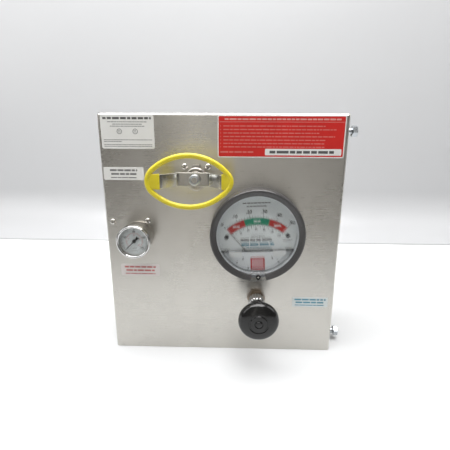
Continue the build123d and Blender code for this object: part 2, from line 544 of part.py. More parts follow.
# ---------------------------------------------------------------- assembly
parts["front_panel"] = make_front_panel()
parts["left_wall"], parts["right_wall"] = make_walls()
parts["rear_cover"] = make_rear_cover()
pan_screws, captive_nuts = make_fasteners()
parts["pan_screws"] = Compound(pan_screws)
parts["captive_nuts"] = Compound(captive_nuts)
studs, seals, stud_nuts = make_studs()
parts["mounting_studs"] = Compound(studs)
parts["stud_seals"] = Compound(seals)
parts["stud_nuts"] = Compound(stud_nuts)
parts.update(make_labels())
parts.update(make_ball_valve())
parts["handle_bar"], parts["handle_grip"], parts["handle_nut"] = make_handle()
parts.update(make_needle_valve())
parts.update(make_dp_gauge())
parts.update(make_dial_gauge())
parts.update(make_stack())
parts.update(make_pipework())

os.makedirs("parts", exist_ok=True)
low, high = [1e9] * 3, [-1e9] * 3
for name, shape in parts.items():
    placed = Pos(0, PANEL_Y, 0) * shape
    export_step(placed, f"parts/{name}.step")
    box = placed.bounding_box()
    low = [min(a, b) for a, b in zip(low, tuple(box.min))]
    high = [max(a, b) for a, b in zip(high, tuple(box.max))]
print(len(parts), "nodes; box", [round(v, 3) for v in low], [round(v, 3) for v in high])
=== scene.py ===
"""Looks for the purge control unit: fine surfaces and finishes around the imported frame."""
import math

import bmesh
import bpy
import numpy as np
from mathutils import Matrix, Vector


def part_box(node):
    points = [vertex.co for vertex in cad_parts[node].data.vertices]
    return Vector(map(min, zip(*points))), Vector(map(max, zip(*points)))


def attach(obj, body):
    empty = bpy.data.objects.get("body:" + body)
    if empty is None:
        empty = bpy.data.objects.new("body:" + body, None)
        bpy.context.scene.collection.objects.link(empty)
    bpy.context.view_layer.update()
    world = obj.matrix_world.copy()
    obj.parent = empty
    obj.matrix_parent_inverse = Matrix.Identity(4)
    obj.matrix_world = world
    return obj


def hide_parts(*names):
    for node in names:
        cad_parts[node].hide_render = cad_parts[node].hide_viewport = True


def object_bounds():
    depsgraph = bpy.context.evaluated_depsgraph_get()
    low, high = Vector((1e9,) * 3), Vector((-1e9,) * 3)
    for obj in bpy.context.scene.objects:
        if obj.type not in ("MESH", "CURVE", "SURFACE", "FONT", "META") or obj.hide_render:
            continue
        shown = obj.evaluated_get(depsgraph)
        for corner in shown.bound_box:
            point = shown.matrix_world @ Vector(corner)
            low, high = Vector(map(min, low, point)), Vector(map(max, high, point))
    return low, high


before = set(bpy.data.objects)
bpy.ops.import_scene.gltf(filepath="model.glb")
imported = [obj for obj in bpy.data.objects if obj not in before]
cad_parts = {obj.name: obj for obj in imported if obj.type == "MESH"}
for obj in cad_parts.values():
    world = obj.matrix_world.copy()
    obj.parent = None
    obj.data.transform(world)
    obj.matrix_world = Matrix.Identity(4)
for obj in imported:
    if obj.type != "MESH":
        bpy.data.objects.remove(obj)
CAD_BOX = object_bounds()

MM = 0.001
SCENE = bpy.context.scene
SCENE.view_settings.view_transform = "Standard"


def middle(node):
    low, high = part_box(node)
    return (np.array(low) + np.array(high)) / 2


PANEL_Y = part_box("front_panel")[0].y              # front face of the box


def on_panel(node):
    """The point of the panel's face that a node's middle lies over."""
    x, _, z = middle(node)
    return np.array([x, PANEL_Y, z])


DP_TILT = math.radians(2.5)                       # the large gauge sits turned, anticlockwise
DP_PIVOT = -39.4                                  # pointer pivot below the large gauge's middle
DP_SWEEP = 80.0                                   # degrees from zero to full scale
SCALE_INNER, SCALE_OUTER = 51.7, 60.4             # coloured band, radii about the pivot
DIAL_SWEEP = 270.0
VALVE_AT, NEEDLE_AT = on_panel("handle_nut"), on_panel("needle_knob")
DP_AT, DIAL_AT = on_panel("dp_case"), on_panel("gauge_case")


# ------------------------------------------------------------------ surfaces
def grid_faces(rows, columns, wrap_rows=False, wrap_columns=False):
    """Quads of a grid stored row by row; wrapping joins the last row or column to the first."""
    i = np.arange(rows if wrap_rows else rows - 1)[:, None]
    j = np.arange(columns if wrap_columns else columns - 1)[None, :]
    below, right = (i + 1) % rows, (j + 1) % columns
    quads = np.broadcast_arrays(i * columns + j, i * columns + right, below * columns + right,
                                below * columns + j)
    return np.stack(quads, -1).reshape(-1, 4).tolist()


def eased(corners, reach, steps=5):
    """A closed outline whose corners are parabolas: each leaves its two sides at reach from the corner."""
    p = np.asarray(corners, float)
    back, ahead = np.roll(p, 1, 0) - p, np.roll(p, -1, 0) - p
    reach = np.broadcast_to(np.asarray(reach, float), len(p))
    cut = [np.minimum(reach / np.linalg.norm(side, axis=1), 0.48)[:, None] for side in (back, ahead)]
    start, end = (p + back * cut[0])[:, None], (p + ahead * cut[1])[:, None]
    s = np.linspace(0, 1, steps)[None, :, None]
    curve = (1 - s) ** 2 * start + 2 * s * (1 - s) * p[:, None] + s ** 2 * end
    return curve.reshape(-1, p.shape[1])


def turned(profile, steps=120, arc=(0.0, 360.0)):
    """A closed (radius, depth) profile carried round Y: x = radius sin t, z = radius cos t."""
    profile = np.asarray(profile, float)
    count = len(profile)
    full = arc[1] - arc[0] >= 360
    t = np.radians(np.linspace(arc[0], arc[1], steps, endpoint=not full))[:, None]
    radius = profile[None, :, 0]
    depth = np.broadcast_to(profile[None, :, 1], (steps, count))
    points = np.stack([radius * np.sin(t), depth, radius * np.cos(t)], -1).reshape(-1, 3)
    faces = grid_faces(steps, count, wrap_rows=full, wrap_columns=True)
    if not full:
        faces += [list(range(count)), list(range((steps - 1) * count, steps * count))]
    return points, faces


def swept(path, section, upright, closed=False):
    """A closed (across, up) section carried along a flat path: across is tangent x upright, up is upright."""
    path, section, upright = (np.asarray(a, float) for a in (path, section, upright))
    if closed:
        along = np.roll(path, -1, 0) - np.roll(path, 1, 0)
    else:
        along = np.gradient(path, axis=0)
    across = np.cross(along / np.linalg.norm(along, axis=1)[:, None], upright)
    points = (path[:, None] + across[:, None] * section[None, :, :1]
              + upright[None, None] * section[None, :, 1:]).reshape(-1, 3)
    rows, count = len(path), len(section)
    faces = grid_faces(rows, count, wrap_rows=closed, wrap_columns=True)
    if not closed:
        faces += [list(range(count)), list(range((rows - 1) * count, rows * count))]
    return points, faces


def plate(outline, y0, y1):
    """A flat plate: an (x, z) outline at two depths, joined by its edge and closed by two faces."""
    outline = np.asarray(outline, float)
    count = len(outline)
    rings = [np.column_stack([outline[:, 0], np.full(count, y), outline[:, 1]]) for y in (y0, y1)]
    faces = grid_faces(2, count, wrap_columns=True)
    faces += [list(range(count)), list(range(count, 2 * count))]
    return np.concatenate(rings), faces


def rectangle(x0, x1, z0, z1):
    return [(x0, z0), (x1, z0), (x1, z1), (x0, z1)]


def rounded_rectangle(x0, x1, z0, z1, radius, steps=7):
    """Four quarter circles about the corners' centres."""
    centres = [(x1 - radius, z1 - radius, 0), (x0 + radius, z1 - radius, 90),
               (x0 + radius, z0 + radius, 180), (x1 - radius, z0 + radius, 270)]
    t = np.linspace(0, 90, steps)
    arcs = [np.column_stack([cx + radius * np.cos(np.radians(t + turn)),
                             cz + radius * np.sin(np.radians(t + turn))]) for cx, cz, turn in centres]
    return np.concatenate(arcs)


def band(inner, outer, start, end, y0, y1, steps=40):
    """A flat ring sector about the Y axis, angles in degrees clockwise from straight up."""
    return turned([(inner, y0), (outer, y0), (outer, y1), (inner, y1)], steps, (start, end))


def strips(rows, y0, y1):
    """Thin bars, one per (x, z, length, width, angle) row; angle turns the bar anticlockwise from X."""
    rows = np.asarray(rows, float)
    half = np.array([(-1, -1), (1, -1), (1, 1), (-1, 1)]) / 2
    a, b = half[None, :, 0] * rows[:, 2:3], half[None, :, 1] * rows[:, 3:4]
    turn = np.radians(rows[:, 4:5])
    x = rows[:, 0:1] + a * np.cos(turn) - b * np.sin(turn)
    z = rows[:, 1:2] + a * np.sin(turn) + b * np.cos(turn)
    points = np.concatenate([np.stack([x, np.full_like(x, y), z], -1) for y in (y0, y1)], 1)
    one = np.array([(0, 1, 2, 3), (7, 6, 5, 4), (0, 4, 5, 1), (1, 5, 6, 2), (2, 6, 7, 3), (3, 7, 4, 0)])
    faces = (one[None] + 8 * np.arange(len(rows))[:, None, None]).reshape(-1, 4).tolist()
    return points.reshape(-1, 3), faces


def hexagon_radius(t, across_flats):
    """Distance from a hexagon's middle to its side at angle t, a flat facing t = 0."""
    return across_flats / 2 / np.cos((t + math.pi / 6) % (math.pi / 3) - math.pi / 6)


def hex_nut(across_flats, bore, y0, y1, chamfer=1.0, steps=96):
    """A nut about Y: its rim follows the hexagon, and a 30 degree cone trims its corners at both ends."""
    t = np.linspace(0, 2 * math.pi, steps, endpoint=False)[:, None]
    rim = hexagon_radius(t, across_flats)
    face_r = across_flats / 2 * 0.96
    drop = (rim - face_r) * math.tan(math.radians(30)) * chamfer
    ease = 0.4
    one = np.ones_like(t)
    radii = [bore * one, (bore + ease) * one, face_r * one, rim, rim, face_r * one, (bore + ease) * one,
             bore * one]
    depths = [(y0 + ease) * one, y0 * one, y0 * one, y0 + drop, y1 - drop, y1 * one, y1 * one,
              (y1 - ease) * one]
    r, y = np.concatenate(radii, 1), np.concatenate(depths, 1)
    points = np.stack([r * np.sin(t), y, r * np.cos(t)], -1).reshape(-1, 3)
    return points, grid_faces(steps, len(radii), wrap_rows=True, wrap_columns=True)


def thread(radius, depth, pitch, y0, y1, steps=40, per_turn=8):
    """A screw about Y: the radius dips by depth in a triangle wave of angle and depth, faded at the ends."""
    rows = int((y1 - y0) / pitch * per_turn) + 1
    y = np.linspace(y0, y1, rows)[:, None]
    t = np.linspace(0, 2 * math.pi, steps, endpoint=False)[None, :]
    wave = np.abs(((y / pitch - t / (2 * math.pi)) % 1.0) * 2 - 1)
    fade = np.clip(np.minimum(y - y0, y1 - y) / pitch, 0, 1)
    r = radius - depth * (1 - fade) - depth * wave * fade
    points = np.stack([r * np.sin(t), np.broadcast_to(y, r.shape), r * np.cos(t)], -1).reshape(-1, 3)
    faces = grid_faces(rows, steps, wrap_columns=True)
    return points, faces + [list(range(steps)), list(range((rows - 1) * steps, rows * steps))]


def pan_head(radius, height, recess=1.25):
    """A cross-recessed head: a flattened dome over (radius, angle), sunk where either arm of the cross is."""
    rings, steps = 30, 72
    r = np.linspace(0, 1, rings)[:, None] ** 0.8 * radius
    t = np.linspace(0, 2 * math.pi, steps, endpoint=False)[None, :]
    x, z = r * np.sin(t), r * np.cos(t)
    crown = height * (1 - (r / radius) ** 3.4) ** 0.55 + 0 * t
    arms = [np.clip((0.62 - np.abs(a)) / 0.35, 0, 1) * np.clip((2.35 - np.abs(b)) / 0.7, 0, 1)
            for a, b in ((x, z), (z, x))]
    top = np.stack([x, -crown + recess * np.maximum(*arms), z], -1)
    base = np.stack([x[-1], np.full(steps, 0.3), z[-1]], -1)[None]
    points = np.concatenate([top, base]).reshape(-1, 3)
    faces = grid_faces(rings + 1, steps, wrap_columns=True)
    return points, faces + [list(range(rings * steps, (rings + 1) * steps))]


def shifted(shell, by=(0, 0, 0), turn=0.0, along_x=False, flip=False):
    """A shell turned anticlockwise about Y, laid from Y onto X or turned to face the back, then moved."""
    points, faces = shell
    c, s = math.cos(turn), math.sin(turn)
    x, y, z = points[:, 0], points[:, 1], points[:, 2]
    points = np.column_stack([c * x - s * z, y, s * x + c * z])
    if along_x:
        points = np.column_stack([points[:, 1], -points[:, 0], points[:, 2]])
    if flip:
        points = points * (-1, -1, 1)
    return points + np.asarray(by, float), faces


def lettering(items, y, thick=0.03, weight=0.03):
    """Numbers as thin solid shapes: (text, x, z, size, turn in degrees anticlockwise)."""
    shells = []
    for text, x, z, size, turn in items:
        curve = bpy.data.curves.new("figures", "FONT")
        curve.body, curve.size, curve.extrude, curve.offset = text, size, thick / 2, size * weight
        curve.align_x, curve.align_y, curve.resolution_u = "CENTER", "CENTER", 3
        holder = bpy.data.objects.new("figures", curve)
        mesh = bpy.data.meshes.new_from_object(holder)
        flat = np.zeros(len(mesh.vertices) * 3)
        mesh.vertices.foreach_get("co", flat)
        flat = flat.reshape(-1, 3)
        points = np.column_stack([flat[:, 0], -flat[:, 2], flat[:, 1]])
        shells.append(shifted((points, [list(p.vertices) for p in mesh.polygons]), (x, y, z),
                              math.radians(turn)))
        bpy.data.objects.remove(holder)
        bpy.data.curves.remove(curve)
        bpy.data.meshes.remove(mesh)
    return shells


def make_piece(name, shells, finish, body, slot, at=(0, 0, 0), tilt=0.0, stands_for=(), crease=30):
    """Local millimetres become one mesh in the frame: turned by tilt about Y, scaled, moved to at."""
    points, faces, first = [], [], 0
    for shell_points, shell_faces in shells:
        points.append(shell_points)
        faces += [[first + i for i in face] for face in shell_faces]
        first += len(shell_points)
    local, _ = shifted((np.concatenate(points), None), turn=tilt)
    mesh = bpy.data.meshes.new(name)
    mesh.from_pydata((local * MM + np.asarray(at)).tolist(), [], faces)
    work = bmesh.new()
    work.from_mesh(mesh)
    bmesh.ops.remove_doubles(work, verts=work.verts, dist=2e-7)
    bmesh.ops.delete(work, geom=[e for e in work.edges if not e.link_faces], context="EDGES")
    bmesh.ops.recalc_face_normals(work, faces=work.faces)
    work.to_mesh(mesh)
    work.free()
    mesh.shade_smooth()
    mesh.set_sharp_from_angle(angle=math.radians(crease))
    mesh.materials.append(finish)
    piece = bpy.data.objects.new(name, mesh)
    SCENE.collection.objects.link(piece)
    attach(piece, body)
    if stands_for:
        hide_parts(*stands_for)
    return piece


def soften(piece, width, segments=2, angle=30):
    """A small bevel on a piece's sharp edges, width in millimetres."""
    bevel = piece.modifiers.new("edge", "BEVEL")
    bevel.width, bevel.segments = width * MM, segments
    bevel.limit_method, bevel.angle_limit = "ANGLE", math.radians(angle)
    bevel.harden_normals = True
    return piece


# ------------------------------------------------------------------ finishes
def new_finish(name, color, metallic=0.0, roughness=0.5, **sockets):
    """A Principled material; sockets are set straight on the shader, underscores standing for spaces."""
    material = bpy.data.materials.new(name)
    material.use_nodes = True
    tree = material.node_tree
    shader = next(n for n in tree.nodes if n.type == "BSDF_PRINCIPLED")
    shader.inputs["Base Color"].default_value = (*color, 1)
    shader.inputs["Metallic"].default_value = metallic
    shader.inputs["Roughness"].default_value = roughness
    for socket, value in sockets.items():
        shader.inputs[socket.replace("_", " ")].default_value = value
    return material, tree, shader


def object_noise(tree, scale, detail=4.0, stretch=(1, 1, 1), roughness=0.55, distortion=0.0):
    """Noise on Object coordinates, stretched per axis, features per metre."""
    place = tree.nodes.new("ShaderNodeTexCoord")
    mapping = tree.nodes.new("ShaderNodeMapping")
    mapping.inputs["Scale"].default_value = stretch
    noise = tree.nodes.new("ShaderNodeTexNoise")
    noise.inputs["Scale"].default_value = scale
    noise.inputs["Detail"].default_value = detail
    noise.inputs["Roughness"].default_value = roughness
    noise.inputs["Distortion"].default_value = distortion
    tree.links.new(place.outputs["Object"], mapping.inputs["Vector"])
    tree.links.new(mapping.outputs["Vector"], noise.inputs["Vector"])
    return noise.outputs["Fac"]


def spread(tree, value, low, high, start=0.3, end=0.7):
    """A value carried from start..end to low..high, clamped."""
    ramp = tree.nodes.new("ShaderNodeMapRange")
    for socket, number in (("From Min", start), ("From Max", end), ("To Min", low), ("To Max", high)):
        ramp.inputs[socket].default_value = number
    tree.links.new(value, ramp.inputs["Value"])
    return ramp.outputs["Result"]


def tint(tree, shader, value, first, second):
    """Base colour mixed between two colours by a value from 0 to 1."""
    mix = tree.nodes.new("ShaderNodeMix")
    mix.data_type = "RGBA"
    mix.inputs["A"].default_value = (*first, 1)
    mix.inputs["B"].default_value = (*second, 1)
    tree.links.new(value, mix.inputs["Factor"])
    tree.links.new(mix.outputs["Result"], shader.inputs["Base Color"])
    return mix


def relief(tree, shader, value, depth, strength=1.0, under=None):
    """Bump of a given depth in millimetres, over an earlier bump where one is given."""
    bump = tree.nodes.new("ShaderNodeBump")
    bump.inputs["Strength"].default_value = strength
    bump.inputs["Distance"].default_value = depth * MM
    tree.links.new(value, bump.inputs["Height"])
    if under is not None:
        tree.links.new(under.outputs["Normal"], bump.inputs["Normal"])
    tree.links.new(bump.outputs["Normal"], shader.inputs["Normal"])
    return bump


def shade(color, factor):
    return tuple(min(c * factor, 1.0) for c in color)


def plain_finish(name, color, metallic=0.0, roughness=0.4, mottle=0.12, grain=900.0, depth=0.01, **sockets):
    """Colour and roughness that drift a little over the surface, with a fine bump."""
    material, tree, shader = new_finish(name, color, metallic, roughness, **sockets)
    drift = object_noise(tree, 45.0, 5.0)
    tint(tree, shader, spread(tree, drift, 0, 1), shade(color, 1 - mottle), shade(color, 1 + mottle * 0.6))
    fine = object_noise(tree, grain, 3.0)
    tree.links.new(spread(tree, fine, roughness * 0.82, roughness * 1.25), shader.inputs["Roughness"])
    relief(tree, shader, fine, depth)
    return material


def brushed_finish(name, color, roughness, stretch, anisotropy, depth=0.004, smudge=0.10):
    """Sheet steel: long fine scratches along one axis, cloudy handling marks and a stretched gloss."""
    material, tree, shader = new_finish(name, color, 1.0, roughness, Anisotropic=anisotropy,
                                        Anisotropic_Rotation=0.25)
    tangent = tree.nodes.new("ShaderNodeTangent")
    tangent.direction_type, tangent.axis = "RADIAL", "Z"
    tree.links.new(tangent.outputs["Tangent"], shader.inputs["Tangent"])
    scratches = object_noise(tree, 1.0, 3.0, stretch, 0.7)
    streaks = object_noise(tree, 0.25, 4.0, stretch, 0.6)
    cloud = object_noise(tree, 9.0, 5.0, (1, 1, 1), 0.6)
    join = tree.nodes.new("ShaderNodeMath")
    join.operation = "MULTIPLY_ADD"
    join.inputs[1].default_value = 0.45
    tree.links.new(scratches, join.inputs[0])
    tree.links.new(spread(tree, cloud, 0.1, 0.5), join.inputs[2])
    tint(tree, shader, spread(tree, join.outputs["Value"], 0, 1, 0.25, 0.75),
         shade(color, 1 - smudge), shade(color, 1 + smudge * 0.5))
    tree.links.new(spread(tree, join.outputs["Value"], roughness * 0.85, roughness * 1.2, 0.2, 0.8),
                   shader.inputs["Roughness"])
    fine = relief(tree, shader, scratches, depth)
    relief(tree, shader, streaks, depth * 0.7, under=fine)
    return material


STEEL = brushed_finish("brushed_sheet", (0.68, 0.66, 0.615), 0.27, (14, 2600, 2600), 0.72)
HANDLE_STEEL = brushed_finish("handle_steel", (0.50, 0.485, 0.44), 0.24, (60, 3000, 3000), 0.5)
SCREW_STEEL = plain_finish("screw_steel", (0.68, 0.66, 0.63), 1.0, 0.22, 0.10, 1500, 0.006)
ZINC = plain_finish("zinc_plate", (0.60, 0.63, 0.66), 1.0, 0.30, 0.18, 700, 0.015)
CHROME = plain_finish("chrome_trim", (0.78, 0.78, 0.78), 1.0, 0.10, 0.05, 1200, 0.003)
NICKEL = plain_finish("nickel_plate", (0.55, 0.525, 0.49), 1.0, 0.30, 0.16, 900, 0.02)
BRONZE = plain_finish("dull_bronze", (0.36, 0.285, 0.215), 1.0, 0.32, 0.18, 900, 0.02)
BRASS = plain_finish("machined_brass", (0.72, 0.54, 0.25), 1.0, 0.26, 0.12, 1100, 0.008)
RUBBER = plain_finish("black_rubber", (0.018, 0.018, 0.018), 0.0, 0.7, 0.2, 1400, 0.03)
VINYL = plain_finish("yellow_vinyl", (0.74, 0.62, 0.028), 0.0, 0.30, 0.10, 420, 0.05, Coat_Weight=0.15,
                     Coat_Roughness=0.15)
PHENOLIC = plain_finish("black_phenolic", (0.010, 0.010, 0.010), 0.0, 0.15, 0.2, 600, 0.006, Coat_Weight=0.15,
                        Coat_Roughness=0.04)
ENAMEL = plain_finish("grey_enamel", (0.062, 0.060, 0.061), 0.0, 0.30, 0.12, 1300, 0.02, Coat_Weight=0.4,
                      Coat_Roughness=0.12)
CASTING = plain_finish("grey_casting", (0.30, 0.31, 0.33), 0.3, 0.5, 0.15, 800, 0.05)
NYLON = plain_finish("black_nylon", (0.03, 0.03, 0.033), 0.0, 0.45, 0.15, 900, 0.03)
BLACK = plain_finish("black_paint", (0.012, 0.012, 0.012), 0.0, 0.35, 0.2, 900, 0.004)
DIAL = plain_finish("dial_enamel", (0.84, 0.88, 0.885), 0.0, 0.45, 0.04, 1200, 0.003)
COVER = plain_finish("dial_cover", (0.80, 0.83, 0.85), 0.0, 0.35, 0.06, 1200, 0.004)
TAB = plain_finish("white_tab", (0.80, 0.82, 0.82), 0.0, 0.30, 0.04, 900, 0.004)
SILICONE = plain_finish("silicone_sheet", (0.50, 0.22, 0.10), 0.0, 0.55, 0.1, 800, 0.03)
SINTER = plain_finish("sintered_filter", (0.78, 0.78, 0.75), 0.0, 0.85, 0.08, 2500, 0.08)
FILM_WHITE = plain_finish("white_film", (0.80, 0.80, 0.78), 0.0, 0.38, 0.03, 500, 0.004)
FILM_RED = plain_finish("red_film", (0.62, 0.022, 0.018), 0.0, 0.36, 0.08, 500, 0.004)
FILM_ROSE = plain_finish("rose_film", (0.82, 0.77, 0.75), 0.0, 0.38, 0.05, 500, 0.004)
FILM_BLUE = plain_finish("blue_film", (0.74, 0.79, 0.79), 0.0, 0.38, 0.05, 500, 0.004)
INK_DARK = plain_finish("dark_ink", (0.10, 0.10, 0.10), 0.0, 0.45, 0.25, 900, 0.002)
INK_GREY = plain_finish("grey_ink", (0.20, 0.20, 0.20), 0.0, 0.45, 0.2, 900, 0.002)
INK_WHITE = plain_finish("white_ink", (0.74, 0.33, 0.30), 0.0, 0.45, 0.1, 900, 0.002)
INK_FAINT = plain_finish("faint_white_ink", (0.68, 0.17, 0.15), 0.0, 0.45, 0.1, 900, 0.002)
INK_RED = plain_finish("red_ink", (0.58, 0.17, 0.16), 0.0, 0.45, 0.15, 900, 0.002)
INK_BLUE = plain_finish("blue_ink", (0.10, 0.30, 0.40), 0.0, 0.45, 0.15, 900, 0.002)
BAND_RED = plain_finish("band_red", (0.55, 0.035, 0.03), 0.0, 0.4, 0.08, 900, 0.002)
BAND_GREEN = plain_finish("band_green", (0.02, 0.30, 0.17), 0.0, 0.4, 0.08, 900, 0.002)
PINK = plain_finish("pink_patch", (0.70, 0.38, 0.40), 0.0, 0.4, 0.06, 900, 0.002)


def clear_finish(name, alpha, roughness=0.03):
    material, tree, shader = new_finish(name, (0.95, 0.97, 0.97), 0.0, roughness, Transmission_Weight=1.0,
                                        IOR=1.49, Alpha=alpha)
    wipe = object_noise(tree, 30.0, 4.0)
    tree.links.new(spread(tree, wipe, roughness * 0.7, roughness * 1.5), shader.inputs["Roughness"])
    relief(tree, shader, wipe, 0.02)
    return material


CLEAR = clear_finish("clear_lens", 0.34)
CLEAR_BOWL = clear_finish("clear_bowl", 0.5, 0.08)

KEPT = {
    STEEL: ["front_panel", "left_wall", "right_wall", "rear_cover"],
    ZINC: ["captive_nuts", "exchange_valve_bracket", "dp_clamp_ring", "regulator_bracket"],
    BRASS: ["exchange_valve_body", "needle_valve_body", "gauge_connector", "gauge_bourdon_tube", "tube_tees",
            "tube_nuts"],
    CASTING: ["dp_case", "regulator_body", "filter_head"],
    NYLON: ["regulator_bonnet", "regulator_knob", "filter_drain"],
    CHROME: ["exchange_valve_ball"],
    HANDLE_STEEL: ["exchange_valve_stem", "needle_stem", "large_tubes", "small_tubes"],
    SCREW_STEEL: ["dp_range_spring"],
    SILICONE: ["dp_diaphragm"],
    SINTER: ["exchange_valve_seats", "filter_element"],
    CLEAR_BOWL: ["filter_bowl"],
}


def dress_kept_nodes():
    for finish, nodes in KEPT.items():
        for node in nodes:
            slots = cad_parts[node].material_slots
            for slot in slots:
                slot.material = finish


# ------------------------------------------------------------------ fasteners
def make_screws():
    """Pan heads on the front panel and, turned round, on the rear cover; places come from the bores."""
    front = [(-143.0, 187.0), (-97.0, 188.5), (-47.0, 259.2), (-17.6, 259.2)]
    rear = [(side * 143.0, z) for side in (-1, 1) for z in (60.0, 160.0, 260.0)]
    rear_face = (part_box("rear_cover")[1].y - PANEL_Y) / MM
    shells = []
    for n, (x, z) in enumerate(front + rear):
        back = n >= len(front)
        y = rear_face if back else 0.0
        for shell in (pan_head(4.1, 2.4), thread(2.0, 0.3, 0.7, 0.2, 9.0, 28)):
            shells.append(shifted(shell, (x, y, z), 0.5 + 1.1 * n, flip=back))
    make_piece("pan_screws_cut", shells, SCREW_STEEL, "housing", "stainless_screw", (0, PANEL_Y, 0),
               stands_for=["pan_screws"], crease=38)


def make_studs():
    """Studs, seals and nuts on the right wall; each outer nut ends at an angle of its own."""
    low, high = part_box("mounting_studs")
    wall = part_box("front_panel")[1].x / MM
    tip = high.x / MM - wall
    r = 4.0
    ys = [(low.y - PANEL_Y) / MM + r, (high.y - PANEL_Y) / MM - r]
    zs = [low.z / MM + r, high.z / MM - r]
    studs, seals, nuts = [], [], []
    for n, (y, z) in enumerate([(y, z) for y in ys for z in zs]):
        put = lambda shell, turn=0.0: shifted(shell, (wall, y, z), turn, along_x=True)
        shank = turned(eased([(0, 3.5), (r, 3.5), (r, 11.0), (0, 11.0)], [0, 0.2, 0.2, 0]), 48)
        studs += [put(shank), put(thread(3.5, 0.55, 1.25, 10.7, tip)),
                  put(thread(3.5, 0.55, 1.25, -9.5, 3.8))]
        seals.append(put(turned(eased([(3.5, 0.0), (7.6, 0.0), (7.9, 1.5), (7.6, 3.0), (3.5, 3.0)], 0.7),
                                64)))
        nuts.append(put(hex_nut(13.0, 3.5, 11.2, 17.7), 0.35 + 0.5 * n))
        nuts.append(put(hex_nut(13.0, 3.5, -8.0, -1.5), 0.2))
    at = (0, PANEL_Y, 0)
    make_piece("studs_threaded", studs, ZINC, "housing", "zinc_plate", at, stands_for=["mounting_studs"])
    make_piece("seals_moulded", seals, RUBBER, "housing", "black_rubber", at, stands_for=["stud_seals"])
    make_piece("nuts_chamfered", nuts, ZINC, "housing", "zinc_plate", at, stands_for=["stud_nuts"])


# ------------------------------------------------------------------ labels
PRINT = 0.035                                      # ink stands this far off its film


def text_bars(lines, y, seed, word=(2.2, 7.5), gap=1.0):
    """Stand-in text: each (x0, x1, z, height) line is cut at random into word-like bars."""
    rng = np.random.default_rng(seed)
    rows = []
    for x0, x1, z, height in lines:
        x = x0
        while x < x1 - word[0] * 0.5:
            length = min(rng.uniform(*word), x1 - x)
            rows.append((x + length / 2, z, length, height, 0))
            x += length + gap * height / 1.2
    return strips(rows, y - PRINT, y - 0.002)


def centred(middle_x, half, z, height):
    return (middle_x - half, middle_x + half, z, height)


def make_label(name, film, slot, corner):
    """A film sticker with rounded corners in the place of its CAD sheet; returns its own box in mm."""
    low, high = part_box(name)
    x0, x1, z0, z1 = low.x / MM, high.x / MM, low.z / MM, high.z / MM
    top = (low.y - PANEL_Y) / MM
    piece = make_piece(name + "_film", [plate(rounded_rectangle(x0, x1, z0, z1, corner), top, -0.005)], film,
                       "housing", slot, (0, PANEL_Y, 0), stands_for=[name])
    soften(piece, 0.06)
    return x0, x1, z0, z1, top


def print_on(name, shells, ink, slot):
    make_piece(name, shells, ink, "housing", slot, (0, PANEL_Y, 0))


